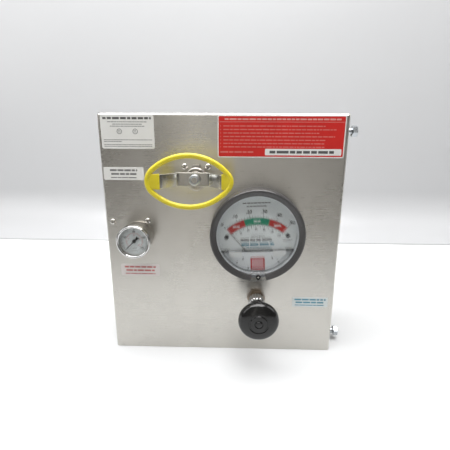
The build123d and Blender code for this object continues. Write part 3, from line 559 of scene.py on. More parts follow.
def make_labels():
    x0, x1, z0, z1, top = make_label("label_rating", FILM_WHITE, "white_label", 2.5)
    mid = (x0 + x1) / 2
    print_on("rating_title", [text_bars([centred(mid, 29.5, z1 - 4.0, 2.5)], top, 3, (3.5, 9.5), 0.7)],
             INK_DARK,
             "white_label")
    marks = [band(2.5, 3.2, 0, 360, top - PRINT, top - 0.002)]
    shells = [shifted(marks[0], (mid + dx, 0, z1 - 19.5)) for dx in (-10.0, 9.5)]
    shells += [text_bars([centred(mid + dx, 1.7, z1 - 18.6 - dz, 0.7) for dx in (-10.0, 9.5)
                          for dz in (0.0, 1.6)], top, 4, (0.8, 1.6), 0.4)]
    shells += [text_bars([centred(mid, 24, z1 - 8.3, 0.8), centred(mid, 18, z1 - 11.0, 0.8),
                          centred(mid, 21, z1 - 13.4, 0.8)], top, 5, (1.2, 4.5), 0.6)]
    small = [(x0 + 3.0, x1 - 3.0, z, 0.75) for z in (z0 + 10.8, z0 + 5.0, z0 + 3.0)]
    shells += [text_bars(small + [(x0 + 3.0, mid - 8, z0 + 8.8, 0.75)], top, 6, (1.2, 4.5), 0.6)]
    print_on("rating_lines", shells, INK_GREY, "white_label")

    x0, x1, z0, z1, top = make_label("label_instructions", FILM_WHITE, "red_label", 2.0)
    edge, strip_x, strip_z = 1.3, x0 + 58.0, z0 + 3.0
    print_on("instructions_field", [plate(rounded_rectangle(x0 + edge, x1 - edge, z0 + edge, z1 - edge, 1.4),
                                          top - PRINT, top - 0.002)], FILM_RED, "red_label")
    red = top - PRINT
    print_on("instructions_heading", [
        text_bars([(x0 + 8.5, x1 - 6.5, z1 - 4.7, 1.9)], red, 8, (3.0, 8.5), 0.7),
        strips([((x0 + x1) / 2, z1 - 7.8, x1 - x0 - 5, 0.45, 0)], red - PRINT, red - 0.002)], INK_WHITE,
        "red_label")
    ends = [0.84, 0.93, 0.80, 0.92, 0.85, 0.84, 0.85]
    lines = [(x0 + 7.0, x0 + (x1 - x0) * end, z1 - 12.6 - 4.1 * n, 1.25) for n, end in enumerate(ends)]
    bullets = [(x0 + 3.6, line[2], 1.0, 1.2, 0) for line in lines]
    print_on("instructions_lines", [text_bars(lines, red, 9, (2.0, 8.5), 0.8),
                                    strips(bullets, red - PRINT, red - 0.002),
                                    text_bars([(x0 + 3.4, x0 + 46.0, strip_z + 3.8, 1.9)], red, 10, (4, 10),
                                              0.7)],
             INK_FAINT, "red_label")
    print_on("instructions_strip", [plate(rounded_rectangle(strip_x, x1 - 3.2, strip_z, strip_z + 7.8, 1.0),
                                          red - PRINT, red - 0.002)], FILM_WHITE, "white_label")
    print_on("instructions_strip_text", [text_bars([(strip_x + 5.5, x1 - 9.5, strip_z + 3.9, 3.2)],
                                                   red - PRINT, 12,
                                                   (4.5, 15.0), 0.6)], INK_DARK, "white_label")

    for name, film, slot, corner, ink, seed, half in (
            ("label_exchange_valve", FILM_WHITE, "white_label", 1.5, INK_GREY, 21, 0.34),
            ("label_exchange_pressure", FILM_ROSE, "rose_label", 2.5, INK_RED, 24, 0.40),
            ("label_pressure_valve", FILM_BLUE, "blue_label", 1.0, INK_BLUE, 28, 0.44)):
        x0, x1, z0, z1, top = make_label(name, film, slot, corner)
        mid, width, height = (x0 + x1) / 2, (x1 - x0) * half, z1 - z0
        lines = [centred(mid, width, z1 - height * 0.24, 2.3),
                 centred(mid, width * 0.92, z1 - height * 0.53, 2.3),
                 centred(mid, width * 0.96, z1 - height * 0.81, 1.2)]
        print_on(name + "_text", [text_bars(lines, top, seed, (3.5, 10.0), 0.6)], ink, slot)


# ------------------------------------------------------------------ quarter-turn valve
def oval(a, b, left_end, right_end, y, count=44):
    """Eight tangent arcs: long ones over the top and bottom, a tighter one at each end."""
    def quarter(r):
        drop = ((a - r) ** 2 - (b - r) ** 2) / (2 * (b - r))
        lean = math.atan2(a - r, drop)
        s = np.linspace(0, lean, count)
        long_arc = np.column_stack([(b + drop) * np.sin(s), (b + drop) * np.cos(s) - drop])
        s = np.linspace(lean, math.pi / 2, count)[1:]
        end_arc = np.column_stack([a - r + r * np.sin(s), r * np.cos(s)])
        return np.concatenate([long_arc, end_arc])
    right, left = quarter(right_end), quarter(left_end) * (-1, 1)
    loop = np.concatenate([right, (right * (1, -1))[-2::-1], (left * (1, -1))[1:], left[-2:0:-1]])
    return np.column_stack([loop[:, 0], np.full(len(loop), y), loop[:, 1]])


def circle(radius, steps=28):
    t = np.linspace(0, 2 * math.pi, steps, endpoint=False)
    return np.column_stack([radius * np.cos(t), radius * np.sin(t)])


def make_handle():
    low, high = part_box("handle_grip")
    mid = (low.x + high.x) / 2 / MM - VALVE_AT[0] / MM
    rod = 3.15
    a, b = (high.x - low.x) / 2 / MM - rod, (high.z - low.z) / 2 / MM - rod
    y = ((low.y + high.y) / 2 - PANEL_Y) / MM
    ring = shifted(swept(oval(a, b, 17.5, 12.5, y), circle(rod), (0, 1, 0), closed=True), (mid, 0, 0))
    make_piece("grip_dipped", [ring], VINYL, "exchange_handle", "yellow_vinyl", VALVE_AT,
               stands_for=["handle_grip"], crease=60)

    bar_y, thick, half = -21.25, 2.5, 8.2
    corners = [(-a + mid, y), (-38, y), (-21, bar_y), (18, bar_y), (32, y), (a + mid, y)]
    path = []
    for n, corner in enumerate(corners):
        if n in (0, len(corners) - 1):
            path.append([corner])
            continue
        back, ahead = np.array(corners[n - 1]) - corner, np.array(corners[n + 1]) - corner
        start = np.array(corner) + back / np.linalg.norm(back) * 3.0
        end = np.array(corner) + ahead / np.linalg.norm(ahead) * 3.0
        s = np.linspace(0, 1, 7)[:, None]
        path.append((1 - s) ** 2 * start + 2 * s * (1 - s) * np.array(corner) + s ** 2 * end)
    path = np.concatenate(path)
    line = np.column_stack([path[:, 0], path[:, 1], np.zeros(len(path))])
    section = eased([(-thick / 2, -half), (thick / 2, -half), (thick / 2, half), (-thick / 2, half)], 0.6, 4)
    make_piece("bar_pressed", [swept(line, section, (0, 0, 1))], HANDLE_STEEL, "exchange_handle",
               "handle_steel",
               VALVE_AT, stands_for=["handle_bar"], crease=40)

    cover, reach = half + 0.9, thick / 2 + 0.85
    section = eased([(-reach, -cover), (reach, -cover), (reach, cover), (-reach, cover)], 1.1, 6)
    sleeves = []
    for x0, x1 in ((-a + mid + 1.0, -38.5), (32.5, a + mid - 1.0)):
        s = np.linspace(0, 1, 24)
        sleeves.append((x0 + (x1 - x0) * s, s))
    shells = []
    for x, s in sleeves:
        swell = 1 + 0.015 * np.sin(s * 9)
        ring_y = y + section[None, :, 0] * swell[:, None]
        ring_z = section[None, :, 1] * swell[:, None]
        points = np.stack([np.broadcast_to(x[:, None], ring_y.shape), ring_y, ring_z], -1).reshape(-1, 3)
        rows, count = ring_y.shape
        faces = grid_faces(rows, count, wrap_columns=True)
        shells.append((points, faces + [list(range(count)), list(range((rows - 1) * count, rows * count))]))
    make_piece("sleeves_dipped", shells, VINYL, "exchange_handle", "yellow_vinyl", VALVE_AT, crease=50)

    nut = turned(eased([(3.4, -29.0), (5.0, -29.5), (6.5, -28.6), (6.5, -23.6), (6.9, -22.5), (3.4, -22.5)],
                       [0.2, 0.6, 0.7, 0.3, 0.2, 0.0]), 72)
    tip = turned(eased([(0, -28.4), (2.6, -28.4), (3.4, -27.9), (3.4, -22.0), (0, -22.0)],
                       [0, 0.5, 0.3, 0, 0]), 48)
    make_piece("hub_nut", [nut], ZINC, "exchange_handle", "zinc_plate", VALVE_AT, stands_for=["handle_nut"])
    make_piece("stem_tip", [tip], NICKEL, "exchange_handle", "handle_steel", VALVE_AT)


def make_valve_bonnet():
    """Cast bonnet: a round boss that bulges downwards, a stop lug on top, and the gland hexagon in front."""
    base = turned(eased([(9.0, 0.0), (12.6, 0.0), (12.6, -5.6), (13.0, -6.4), (13.0, -10.4), (12.0, -11.6),
                         (10.6, -11.8), (10.2, -11.0), (9.0, -11.0)],
                         [0, 0.3, 0.4, 0.4, 0.9, 0.8, 0.3, 0.3, 0]), 96)
    bulge = turned(eased([(0, -0.5), (9.6, -0.5), (10.4, -1.6), (10.4, -11.2), (8.8, -12.8), (0, -12.8)],
                         [0, 0.6, 0.6, 1.1, 1.1, 0]), 72)
    collar = turned(eased([(4.3, -11.6), (8.8, -11.6), (8.8, -14.2), (4.3, -14.2)], 0.4), 64)
    gland = hex_nut(15.0, 4.3, -18.6, -13.8)
    lug = plate(eased([(-6, 9.5), (6, 9.5), (4.2, 16.0), (-4.2, 16.0)], [0, 0, 1.8, 1.8]), -10.6, 0)
    piece = make_piece("bonnet_cast", [base, shifted(bulge, (0, 0, -5.8)), collar, gland, lug], NICKEL,
                       "housing",
                       "nickel_body", VALVE_AT, stands_for=["exchange_valve_bonnet"])
    soften(piece, 0.25)


# ------------------------------------------------------------------ needle valve
def make_needle_valve():
    nut = hex_nut(21.0, 8.0, -7.0, 0.0)
    make_piece("panel_nut_chamfered", [nut], BRONZE, "housing", "nickel_body", NEEDLE_AT,
               stands_for=["needle_panel_nut"])
    rows, steps = 30, 192
    y = np.linspace(-9.0, -24.0, rows)[:, None]
    t = np.linspace(0, 2 * math.pi, steps, endpoint=False)[None, :]
    body = np.where(y > -23.0, 9.4, 9.4 + (y + 23.0) * 1.4)
    ribbed = np.clip(np.minimum(-9.8 - y, y + 22.8) / 0.8, 0, 1)
    flute = np.abs(np.sin(t * 9)) ** 0.6
    r = body + 1.6 * ribbed * flute
    outer = np.stack([r * np.sin(t), np.broadcast_to(y, r.shape), r * np.cos(t)], -1)
    inner = outer[::-1].copy()
    inner[..., 0], inner[..., 2] = 4.3 * np.sin(t), 4.3 * np.cos(t)
    points = np.concatenate([outer, inner[[0, -1]]]).reshape(-1, 3)
    shell = (points, grid_faces(rows + 2, steps, wrap_rows=True, wrap_columns=True))
    make_piece("bonnet_fluted", [shell], CHROME, "housing", "chrome_trim", NEEDLE_AT,
               stands_for=["needle_valve_bonnet"], crease=45)

    profile = [(4.05, -42.0), (9.4, -42.0), (10.6, -45.5), (17.0, -52.5), (23.0, -56.4), (24.6, -59.4),
               (24.6, -63.8), (22.6, -67.6), (18.5, -69.4), (12.6, -70.6), (11.9, -69.9), (10.7, -70.0),
               (10.0, -70.9), (5.2, -71.2), (4.7, -70.5), (4.1, -70.5), (3.6, -71.6), (0, -72.0), (0, -59.0),
               (4.05, -59.0)]
    reach = [0.3, 1.6, 2.5, 4.0, 2.4, 2.2, 2.4, 2.6, 2.6, 0.5, 0.4, 0.4, 0.5, 0.5, 0.3, 0.3, 0.6, 0, 0, 0]
    make_piece("knob_moulded", [turned(eased(profile, reach, 7), 144)], PHENOLIC, "pressure_knob",
               "black_knob",
               NEEDLE_AT, stands_for=["needle_knob"], crease=50)


# ------------------------------------------------------------------ large gauge
def make_dp_gauge():
    housing = dict(body="housing", at=DP_AT, tilt=DP_TILT)
    profile = [(57.0, 0.0), (60.3, 0.0), (60.3, -19.3), (59.0, -21.4), (56.6, -21.2), (52.3, -19.4),
               (51.8, -18.9), (51.8, -17.0), (57.0, -17.0)]
    reach = [0, 0.3, 1.4, 1.0, 1.2, 0.4, 0.3, 0, 0]
    notch = math.degrees(math.asin(9.7 / 56.0))
    make_piece("bezel_cast", [turned(eased(profile, reach, 6), 200, (180 + notch, 540 - notch))], ENAMEL,
               slot="black_enamel", stands_for=["dp_bezel"], **housing)
    dome = [(0, -20.1), (20, -19.9), (36, -19.3), (47, -18.1), (51.5, -17.1), (56.5, -16.8), (56.5, -14.1),
            (51.0, -14.1), (47.0, -16.5), (36, -17.7), (20, -18.3), (0, -18.5)]
    lens = turned(eased(dome, [0, 6, 6, 3, 1.2, 0.3, 0.3, 0.5, 2, 6, 6, 0], 5), 160)
    boss = plate(rounded_rectangle(-9.4, 9.4, -59.0, -49.2, 1.0), -21.1, -17.2)
    piece = make_piece("lens_moulded", [lens, boss], CLEAR, slot="clear_lens", stands_for=["dp_lens"],
                       **housing)
    soften(piece, 0.3)
    zero_z = -54.2
    pocket = turned(eased([(0, -21.2), (3.0, -21.4), (3.0, -18.2), (0, -18.2)], [0, 0.3, 0, 0]), 48)
    core = turned(eased([(0, -21.5), (1.1, -21.5), (1.1, -21.1), (0, -21.1)], [0, 0.2, 0, 0]), 24)
    put = dict(body="zero_screw", at=DP_AT, tilt=DP_TILT)
    make_piece("zero_screw_head", [shifted(pocket, (0, 0, zero_z))], BLACK, slot="black_pointer",
               stands_for=["dp_zero_screw"], **put)
    make_piece("zero_screw_core", [shifted(core, (0, 0, zero_z))], SCREW_STEEL, slot="stainless_screw", **put)
    make_dp_dial(housing)


def about_pivot(radius, angle):
    """Where a radius about the pointer's pivot points, angle in degrees clockwise from straight up."""
    t = math.radians(angle)
    return radius * math.sin(t), DP_PIVOT + radius * math.cos(t)


def make_dp_dial(housing):
    face, edge = -5.4, -22.0
    span = math.degrees(math.acos(edge / 52.6))
    t = np.radians(np.linspace(-span, span, 120))
    outline = np.column_stack([52.6 * np.sin(t), 52.6 * np.cos(t)])
    piece = make_piece("dial_plate", [plate(outline, face, face + 0.8)], DIAL, slot="white_dial",
                       stands_for=["dp_dial"], **housing)
    soften(piece, 0.15)
    ink = (face - PRINT, face - 0.002)
    half = DP_SWEEP / 2
    low_end, high_start = -half + 0.30 * DP_SWEEP, -half + 0.705 * DP_SWEEP
    for name, start, end, finish in (("band_low", -half, low_end, BAND_RED),
                                     ("band_safe", low_end, high_start, BAND_GREEN),
                                     ("band_high", high_start, half, BAND_RED)):
        sector = shifted(band(SCALE_INNER, SCALE_OUTER, start, end, *ink), (0, 0, DP_PIVOT))
        make_piece(name, [sector], finish, slot="white_dial", **housing)
    ticks = []
    for n in range(26):
        angle = -half + DP_SWEEP * n / 25
        long = n % 5 == 0
        for r0, reach in ((SCALE_OUTER, 4.6 if long else 2.6), (SCALE_INNER, -(3.6 if n % 2 == 0 else 2.0))):
            x, z = about_pivot(r0 + reach / 2 + math.copysign(0.4, reach), angle)
            ticks.append((x, z, abs(reach), 0.62 if long else 0.40, 90 - angle))
    arcs = [shifted(band(r - 0.14, r + 0.14, -half, half, *ink, steps=60), (0, 0, DP_PIVOT))
            for r in (SCALE_OUTER + 0.35, SCALE_INNER - 0.35)]
    make_piece("dial_ticks", [strips(ticks, *ink)] + arcs, BLACK, slot="black_pointer", **housing)
    figures = []
    for n, text in enumerate(("0", ".10", ".20", ".30", ".40", ".50")):
        angle = -half + DP_SWEEP * n / 5
        x, z = about_pivot(69.0, angle)
        figures.append((text, x, z, 6.2, 0))
    for n in range(7):
        angle = -half + DP_SWEEP * n / 6.2
        x, z = about_pivot(45.6, angle)
        figures.append((str(20 * n), x, z, 3.2, 0))
    make_piece("dial_figures", lettering(figures, face - PRINT / 2), BLACK, slot="black_pointer", crease=20,
               **housing)
    lines = [centred(0, 17.5, 40.6, 1.5), centred(0, 12.5, 36.4, 1.3), centred(1, 8.5, -3.0, 1.0)]
    make_piece("dial_small_text", [text_bars(lines, face, 41, (2.0, 5.0), 0.6),
                                   text_bars([(33, 45, -8.8, 0.8), (33, 43, -11.0, 0.8)], face, 42,
                                             (1.5, 4), 0.5)],
               INK_GREY, slot="white_dial", **housing)
    make_piece("dial_name_bars", [text_bars([centred(0.5, 22, -8.0, 2.6)], face, 43, (6.0, 14.0), 0.6)],
               INK_DARK,
               slot="white_dial", **housing)
    make_piece("dial_maker_bars", [text_bars([centred(0.5, 21, -14.2, 3.4)], face, 44, (9.0, 16.0), 0.5),
                                   text_bars([centred(2, 16, -18.4, 0.9)], face, 45, (2.0, 5.0), 0.5)],
                                   INK_BLUE,
               slot="white_dial", **housing)
    make_piece("band_words", [text_bars([(x - 4.4, x + 4.4, z, 2.0)], face - PRINT, 50 + n, (3.8, 4.8), 0.3)
                              for n, (x, z) in enumerate(about_pivot(56.0, a) for a in (-half + 12, 0.4,
                                                                                        half - 12))],
               TAB, slot="white_dial", **housing)
    heads = [shifted(turned(eased([(0, -6.9), (2.5, -6.7), (2.9, -6.2), (2.9, -5.4), (0, -5.4)],
                                  [0, 0.5, 0.4, 0, 0]), 40), (x, 0, -3.5)) for x in (-39.4, 39.4)]
    make_piece("dial_screw_heads", heads, BLACK, slot="black_pointer", stands_for=["dp_dial_screws"],
               **housing)
    make_dial_liner(housing)
    make_lower_cover(housing)
    needle = plate([(-0.42, 3), (0.42, 3), (0.36, 40), (0.12, 55), (-0.12, 55), (-0.36, 40)], -7.4, -7.0)
    hub = turned(eased([(0, -8.0), (3.4, -8.0), (4.5, -7.2), (4.5, -6.4), (0, -6.4)], [0, 0.6, 0.4, 0, 0]),
                 48)
    axle = turned([(0, -6.5), (0.8, -6.5), (0.8, 9.5), (0, 9.5)], 20)
    helix = thread(2.6, 0.7, 2.0, 1.0, 9.0, 24)
    tip = [shifted(shell, turn=math.radians(DP_SWEEP / 2)) for shell in (needle, hub, axle, helix)]
    make_piece("needle_and_hub", [shifted(s, (0, 0, DP_PIVOT)) for s in tip], BLACK, "dp_pointer",
               "black_pointer",
               DP_AT, DP_TILT, stands_for=["dp_pointer"])


def make_dial_liner(housing):
    """A light moulded ring that stands round the dial, between its edge and the lens."""
    ring = turned(eased([(52.7, -1.2), (53.4, -1.2), (53.4, -14.0), (52.2, -14.0), (51.6, -13.2),
                         (52.4, -8.0),
                         (52.7, -3.0)], 0.3), 160)
    make_piece("dial_liner", [ring], COVER, slot="white_dial", **housing)


def make_lower_cover(housing):
    """The recessed lower part of the dial: back plate, raised cover, bright tabs, black bars of painted shade
    in the gap under the dial, and the range patch.
    """
    span = math.degrees(math.acos(23.5 / 52.6))
    t = np.radians(np.linspace(180 - span, 180 + span, 80))
    back = plate(np.column_stack([52.6 * np.sin(t), 52.6 * np.cos(t)]), -2.6, -1.6)
    cover = plate(eased([(-34, -23.4), (34, -23.4), (34, -34), (22, -45), (12, -48.6), (-12, -48.6),
                         (-22, -45),
                         (-34, -34)], [1, 1, 4, 4, 3, 3, 4, 4]), -9.0, -8.2)
    posts = [plate(rectangle(x0, x0 + 3, -27.5, -24.5), -8.3, -1.7) for x0 in (-30, 27)]
    piece = make_piece("cover_moulded", [back, cover] + posts, COVER, slot="white_dial",
                       stands_for=["dp_movement_bracket"], **housing)
    soften(piece, 0.25)
    tabs = []
    for side in (-1, 1):
        x = side * 28.5
        tabs.append(plate(eased(rectangle(x - 8.2, x + 8.2, -29.8, -22.4), 0.8), -10.4, -9.0))
    piece = make_piece("cover_tabs", tabs, TAB, slot="white_dial", **housing)
    soften(piece, 0.3)
    # painted shade: black bars fill the gap between the dial's lower edge and the cover, where the shadow
    # falls
    gap_shade_bars = [(x, -22.3, w, 0.9, 0) for x, w in ((-43.5, 13), (0, 40), (43.5, 13))]
    make_piece("cover_gap_shade", [strips(gap_shade_bars, -9.3, -4.0)], BLACK, slot="black_pointer", **housing)
    marks = [(-27, -37.5), (27, -37.5), (-19, -32.5), (19, -32.5), (-12.5, -45.5)]
    rivets = [shifted(turned(eased([(0, -9.5), (1.0, -9.4), (1.2, -9.0), (0, -9.0)], [0, 0.2, 0, 0]), 24),
                      (x, 0, z))
              for x, z in marks]
    make_piece("cover_rivets", rivets, INK_GREY, slot="white_dial", **housing)
    make_piece("range_patch", [plate(rounded_rectangle(-8.1, 8.1, -47.8, -32.2, 0.8), -9.1, -9.01)], PINK,
               slot="rose_label", **housing)
    frame_bars = [(0, -32.4, 18.4, 1.7, 0), (0, -47.6, 18.4, 1.7, 0), (-8.4, -40, 1.7, 16.8, 0),
                  (8.4, -40, 1.7, 16.8, 0)]
    make_piece("range_patch_frame", [strips(frame_bars, -9.2, -9.02)], BAND_RED, slot="red_label", **housing)


# ------------------------------------------------------------------ small gauge
def make_dial_gauge():
    housing = dict(body="housing", at=DIAL_AT)
    case = turned(eased([(0, -3), (18.8, -3), (18.8, -23), (20.3, -23), (20.3, -1.9), (19.3, -1), (0, -1)],
                        [0, 0, 0, 0, 0.6, 0.6, 0]), 120)
    make_piece("small_case", [case], NICKEL, slot="nickel_body", stands_for=["gauge_case"], **housing)
    ring = turned(eased([(20.3, -21), (21.9, -21), (22.1, -22.4), (21.8, -23.4), (21.8, -26.2), (20.8, -27.8),
                         (19.4, -28.0), (18.3, -27.0), (18.3, -26.4), (19.7, -26.4), (19.7, -23),
                         (20.3, -23)],
                        [0, 0.3, 0.5, 0.4, 0.9, 0.8, 0.8, 0.4, 0, 0, 0, 0], 6), 144)
    make_piece("small_ring", [ring], CHROME, slot="chrome_trim", stands_for=["gauge_bezel"], **housing)
    dome = turned(eased([(0, -27.3), (12, -27.0), (18.0, -26.5), (19.6, -26.4), (19.6, -24.8), (0, -24.8)],
                        [0, 3, 1, 0, 0, 0]), 96)
    make_piece("small_lens", [dome], CLEAR, slot="clear_lens", stands_for=["gauge_lens"], **housing)
    face = -20.5
    disc = turned([(1.0, face), (18.7, face), (18.7, face + 0.6), (1.0, face + 0.6)], 96)
    make_piece("small_dial", [disc], DIAL, slot="white_dial", stands_for=["gauge_dial"], **housing)
    ink = (face - PRINT, face - 0.002)
    half = DIAL_SWEEP / 2
    black, red = [], []
    for n in range(41):
        t = math.radians(-half + DIAL_SWEEP * n / 40)
        long = n % 5 == 0
        reach = 2.2 if long else 1.2
        r = 16.6 - reach / 2
        black.append((r * math.sin(t), r * math.cos(t), reach, 0.52 if long else 0.32, 90 - math.degrees(t)))
    for n in range(31):
        t = math.radians(-half + DIAL_SWEEP * n / 30)
        reach = 1.5 if n % 5 == 0 else 0.8
        r = 10.3 - reach / 2
        red.append((r * math.sin(t), r * math.cos(t), reach, 0.40 if n % 5 == 0 else 0.26,
                    90 - math.degrees(t)))
    make_piece("small_ticks", [strips(black, *ink), band(16.65, 16.9, -half, half, *ink, steps=80)], BLACK,
               slot="black_pointer", **housing)
    make_piece("small_ticks_inner", [strips(red, *ink), band(10.35, 10.6, -half, half, *ink, steps=80)],
               INK_RED,
               slot="rose_label", **housing)
    figures, inner = [], []
    for n in range(0, 9, 2):
        t = math.radians(-half + DIAL_SWEEP * n / 8)
        figures.append((str(20 * n), 12.4 * math.sin(t), 12.4 * math.cos(t), 3.2, 0))
        inner.append((str(n), 7.6 * math.sin(t), 7.4 * math.cos(t), 2.4, 0))
    make_piece("small_figures", lettering(figures, face - PRINT / 2), BLACK, slot="black_pointer", crease=20,
               **housing)
    make_piece("small_figures_inner", lettering(inner, face - PRINT / 2), INK_RED, slot="rose_label",
               crease=20,
               **housing)
    make_piece("small_unit_bars", [text_bars([centred(0, 2.6, -9.4, 0.8), centred(0, 4.0, -13.0, 0.7)],
                                             face, 61,
                                             (1.0, 2.4), 0.5)], INK_GREY, slot="white_dial", **housing)
    needle = plate([(-0.55, 2), (0.55, 2), (0.16, 14.5), (-0.16, 14.5)], -22.4, -22.0)
    tail = plate(eased([(-0.7, -2), (0.7, -2), (2.2, -7.6), (0, -6.9), (-2.2, -7.6)], 0.3), -22.4, -22.0)
    hub = turned(eased([(0, -22.8), (2.0, -22.8), (2.5, -22.3), (2.5, -21.6), (0, -21.6)],
                       [0, 0.4, 0.3, 0, 0]), 40)
    axle = turned([(0, -21.7), (0.7, -21.7), (0.7, -6.0), (0, -6.0)], 20)
    shells = [shifted(shell, turn=math.radians(half)) for shell in (needle, tail, hub, axle)]
    make_piece("small_needle", shells, BLACK, "exchange_pointer", "black_pointer", DIAL_AT,
               stands_for=["gauge_pointer"])


# ------------------------------------------------------------------ side fittings
def fitting(side, y, z, reach, inner, large=False):
    """A bulkhead fitting through its wall: chamfered hexagon and nut, barrel with a rolled mouth, socket."""
    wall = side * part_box("front_panel")[1].x / MM
    flats, barrel, threaded, socket, way = (24, 11, 10, 6.4, 5.0) if large else (18, 8, 7, 3.2, 2.4)
    nut = hex_nut(flats, threaded, 0.0, 8.0)
    inner_nut = hex_nut(flats + 2, threaded, -6.5, -1.5)
    body = turned(eased([(way, -inner), (threaded, -inner), (threaded, 7.6), (barrel, 8.2),
                         (barrel, reach - 1.2),
                         (barrel - 1.0, reach), (socket, reach), (socket, reach - 14), (way, reach - 14)],
                        [0, 0.5, 0, 0.4, 0.6, 0.5, 0.4, 0, 0]), 72)
    groove = turned(eased([(barrel - 0.2, 10.2), (barrel + 0.35, 10.4), (barrel + 0.35, 11.4),
                           (barrel - 0.2, 11.6)],
                          0.2), 72)
    shells = [shifted(shell, (wall, y, z), along_x=True) for shell in (nut, inner_nut, body, groove)]
    if side < 0:
        shells = [((points - (wall, y, z)) * (-1, -1, 1) + (wall, y, z), faces) for points, faces in shells]
    return shells


def make_fittings():
    """Supply on the left wall, reference on the right, both small, and the large outlet above."""
    low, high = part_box("small_fittings")
    out_low, out_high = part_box("outlet_fitting")
    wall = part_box("front_panel")[1].x / MM
    supply = fitting(-1, 62.0, 102.0, -low.x / MM - wall, 10.5)
    reference = fitting(1, 61.0, 175.372, high.x / MM - wall, 17.5)
    outlet = fitting(1, 75.0, 255.0, out_high.x / MM - wall, wall - out_low.x / MM, large=True)
    for name, shells in (("small_fittings", supply + reference), ("outlet_fitting", outlet)):
        make_piece(name + "_turned", shells, BRASS, "housing", "brass_body", (0, PANEL_Y, 0),
                   stands_for=[name])


# ------------------------------------------------------------------ stage
TABLE_FRONT, TABLE_BACK = -0.42, 0.45              # metres along Y
WALL_BEND, WALL_TOP, STAGE_HALF = 0.12, 2.6, 2.6


def make_stage():
    """A pale table top that ends in front of the object, and a greyer wall rising from its back edge."""
    floor_z = CAD_BOX[0][2]
    mesh = bpy.data.meshes.new("sweep")
    bend = np.linspace(0, math.pi / 2, 16)
    y = np.concatenate([[TABLE_FRONT, TABLE_FRONT, TABLE_BACK], TABLE_BACK + WALL_BEND * np.sin(bend),
                        [TABLE_BACK + WALL_BEND]])
    z = np.concatenate([[-0.04, 0.0, 0.0], WALL_BEND - WALL_BEND * np.cos(bend), [WALL_TOP]])
    points = np.concatenate([np.column_stack([np.full(len(y), x), y, z + floor_z])
                             for x in (-STAGE_HALF, STAGE_HALF)])
    mesh.from_pydata(points.tolist(), [], grid_faces(2, len(y)))
    mesh.shade_smooth()
    for name, color in (("pale_table", (0.86, 0.87, 0.88)), ("pale_wall", (0.52, 0.525, 0.535))):
        material, tree, shader = new_finish(name, color, 0.0, 0.32)
        tree.links.new(spread(tree, object_noise(tree, 3.0), 0.28, 0.38), shader.inputs["Roughness"])
        mesh.materials.append(material)
    for face in mesh.polygons:
        face.material_index = int(face.center.y > TABLE_BACK)
    floor = bpy.data.objects.new("sweep", mesh)
    SCENE.collection.objects.link(floor)


def make_light(name, at, aim, size, power, color=(1, 1, 1)):
    light = bpy.data.lights.new(name, "AREA")
    light.shape, light.size, light.size_y = "RECTANGLE", size[0], size[1]
    light.energy, light.color = power, color
    lamp = bpy.data.objects.new(name, light)
    lamp.location = at
    lamp.rotation_euler = (Vector(aim) - Vector(at)).to_track_quat("-Z", "Y").to_euler()
    SCENE.collection.objects.link(lamp)


ROOM_BANDS = [(-1.0, 0.14), (-0.40, 0.12), (-0.31, 0.28), (-0.24, 0.15), (-0.175, 0.15), (-0.14, 0.95),
              (-0.115, 0.60), (-0.09, 1.05), (-0.065, 0.28), (0.02, 0.22), (0.10, 0.32), (0.16, 0.20),
              (0.22, 0.34),
              (0.27, 0.15), (0.33, 0.08), (1.0, 0.14)]


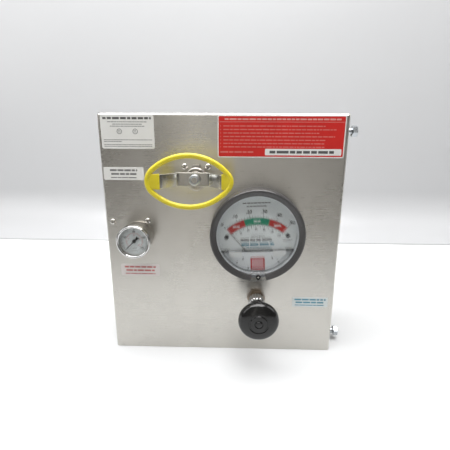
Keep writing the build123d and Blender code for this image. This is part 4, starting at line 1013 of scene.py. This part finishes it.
def make_lights():
    """A dim room with upright light and dark bands, a broad soft light overhead, and a soft light at each
    side.
    """
    world = bpy.data.worlds.new("room")
    SCENE.world = world
    world.use_nodes = True
    tree = world.node_tree
    ground = next(n for n in tree.nodes if n.type == "BACKGROUND")
    place = tree.nodes.new("ShaderNodeTexCoord")
    parts = tree.nodes.new("ShaderNodeSeparateXYZ")
    tree.links.new(place.outputs["Generated"], parts.inputs["Vector"])
    across = tree.nodes.new("ShaderNodeMapRange")
    across.inputs["From Min"].default_value, across.inputs["From Max"].default_value = -1.0, 1.0
    tree.links.new(parts.outputs["X"], across.inputs["Value"])
    bands = tree.nodes.new("ShaderNodeValToRGB")
    ramp = bands.color_ramp
    ramp.interpolation = "B_SPLINE"
    while len(ramp.elements) < len(ROOM_BANDS):
        ramp.elements.new(0.5)
    for element, (x, tone) in zip(ramp.elements, ROOM_BANDS):
        element.position, element.color = (x + 1) / 2, (tone, tone * 0.965, tone * 0.91, 1)
    tree.links.new(across.outputs["Result"], bands.inputs["Fac"])
    height = tree.nodes.new("ShaderNodeMapRange")
    height.interpolation_type = "SMOOTHSTEP"
    height.inputs["From Min"].default_value, height.inputs["From Max"].default_value = -0.34, -0.16
    tree.links.new(parts.outputs["Z"], height.inputs["Value"])
    mix = tree.nodes.new("ShaderNodeMix")
    mix.data_type = "RGBA"
    mix.inputs["A"].default_value = (0.40, 0.385, 0.36, 1)
    tree.links.new(height.outputs["Result"], mix.inputs["Factor"])
    tree.links.new(bands.outputs["Color"], mix.inputs["B"])
    tree.links.new(mix.outputs["Result"], ground.inputs["Color"])
    ground.inputs["Strength"].default_value = 1.0
    make_light("overhead", (-0.1, -0.1, 1.5), (0, 0.15, 0.0), (1.7, 1.3), 45)
    make_light("left_soft", (-1.5, -0.5, 1.0), (0, 0, 0.15), (0.8, 1.1), 6)
    make_light("right_soft", (1.5, 0.1, 1.0), (0.3, 0.2, 0.0), (0.9, 1.1), 5)


def make_camera():
    """The eye, its heading turned slightly left and down; a 28.8 mm lens on a 36 mm frame."""
    yaw, pitch, roll = -0.03011, 0.27936, 0.00373
    ahead = np.array([math.sin(yaw) * math.cos(pitch), math.cos(yaw) * math.cos(pitch), -math.sin(pitch)])
    right = np.array([math.cos(yaw), -math.sin(yaw), 0.0])
    up = np.cross(right, ahead)
    side = right * math.cos(roll) + up * math.sin(roll)
    top = up * math.cos(roll) - right * math.sin(roll)
    lens = bpy.data.cameras.new("eye")
    lens.lens, lens.sensor_width, lens.clip_start = 28.8, 36.0, 0.02
    eye = bpy.data.objects.new("eye", lens)
    place = Matrix.Identity(4)
    for column, axis in enumerate((side, top, -ahead)):
        for row in range(3):
            place[row][column] = axis[row]
    place.translation = (0.01707, PANEL_Y - 0.44905, 0.31304)
    eye.matrix_world = place
    SCENE.collection.objects.link(eye)
    SCENE.camera = eye


make_camera()
make_stage()
make_lights()
dress_kept_nodes()
make_screws()
make_studs()
make_labels()
make_handle()
make_valve_bonnet()
make_needle_valve()
make_dp_gauge()
make_dial_gauge()
make_fittings()
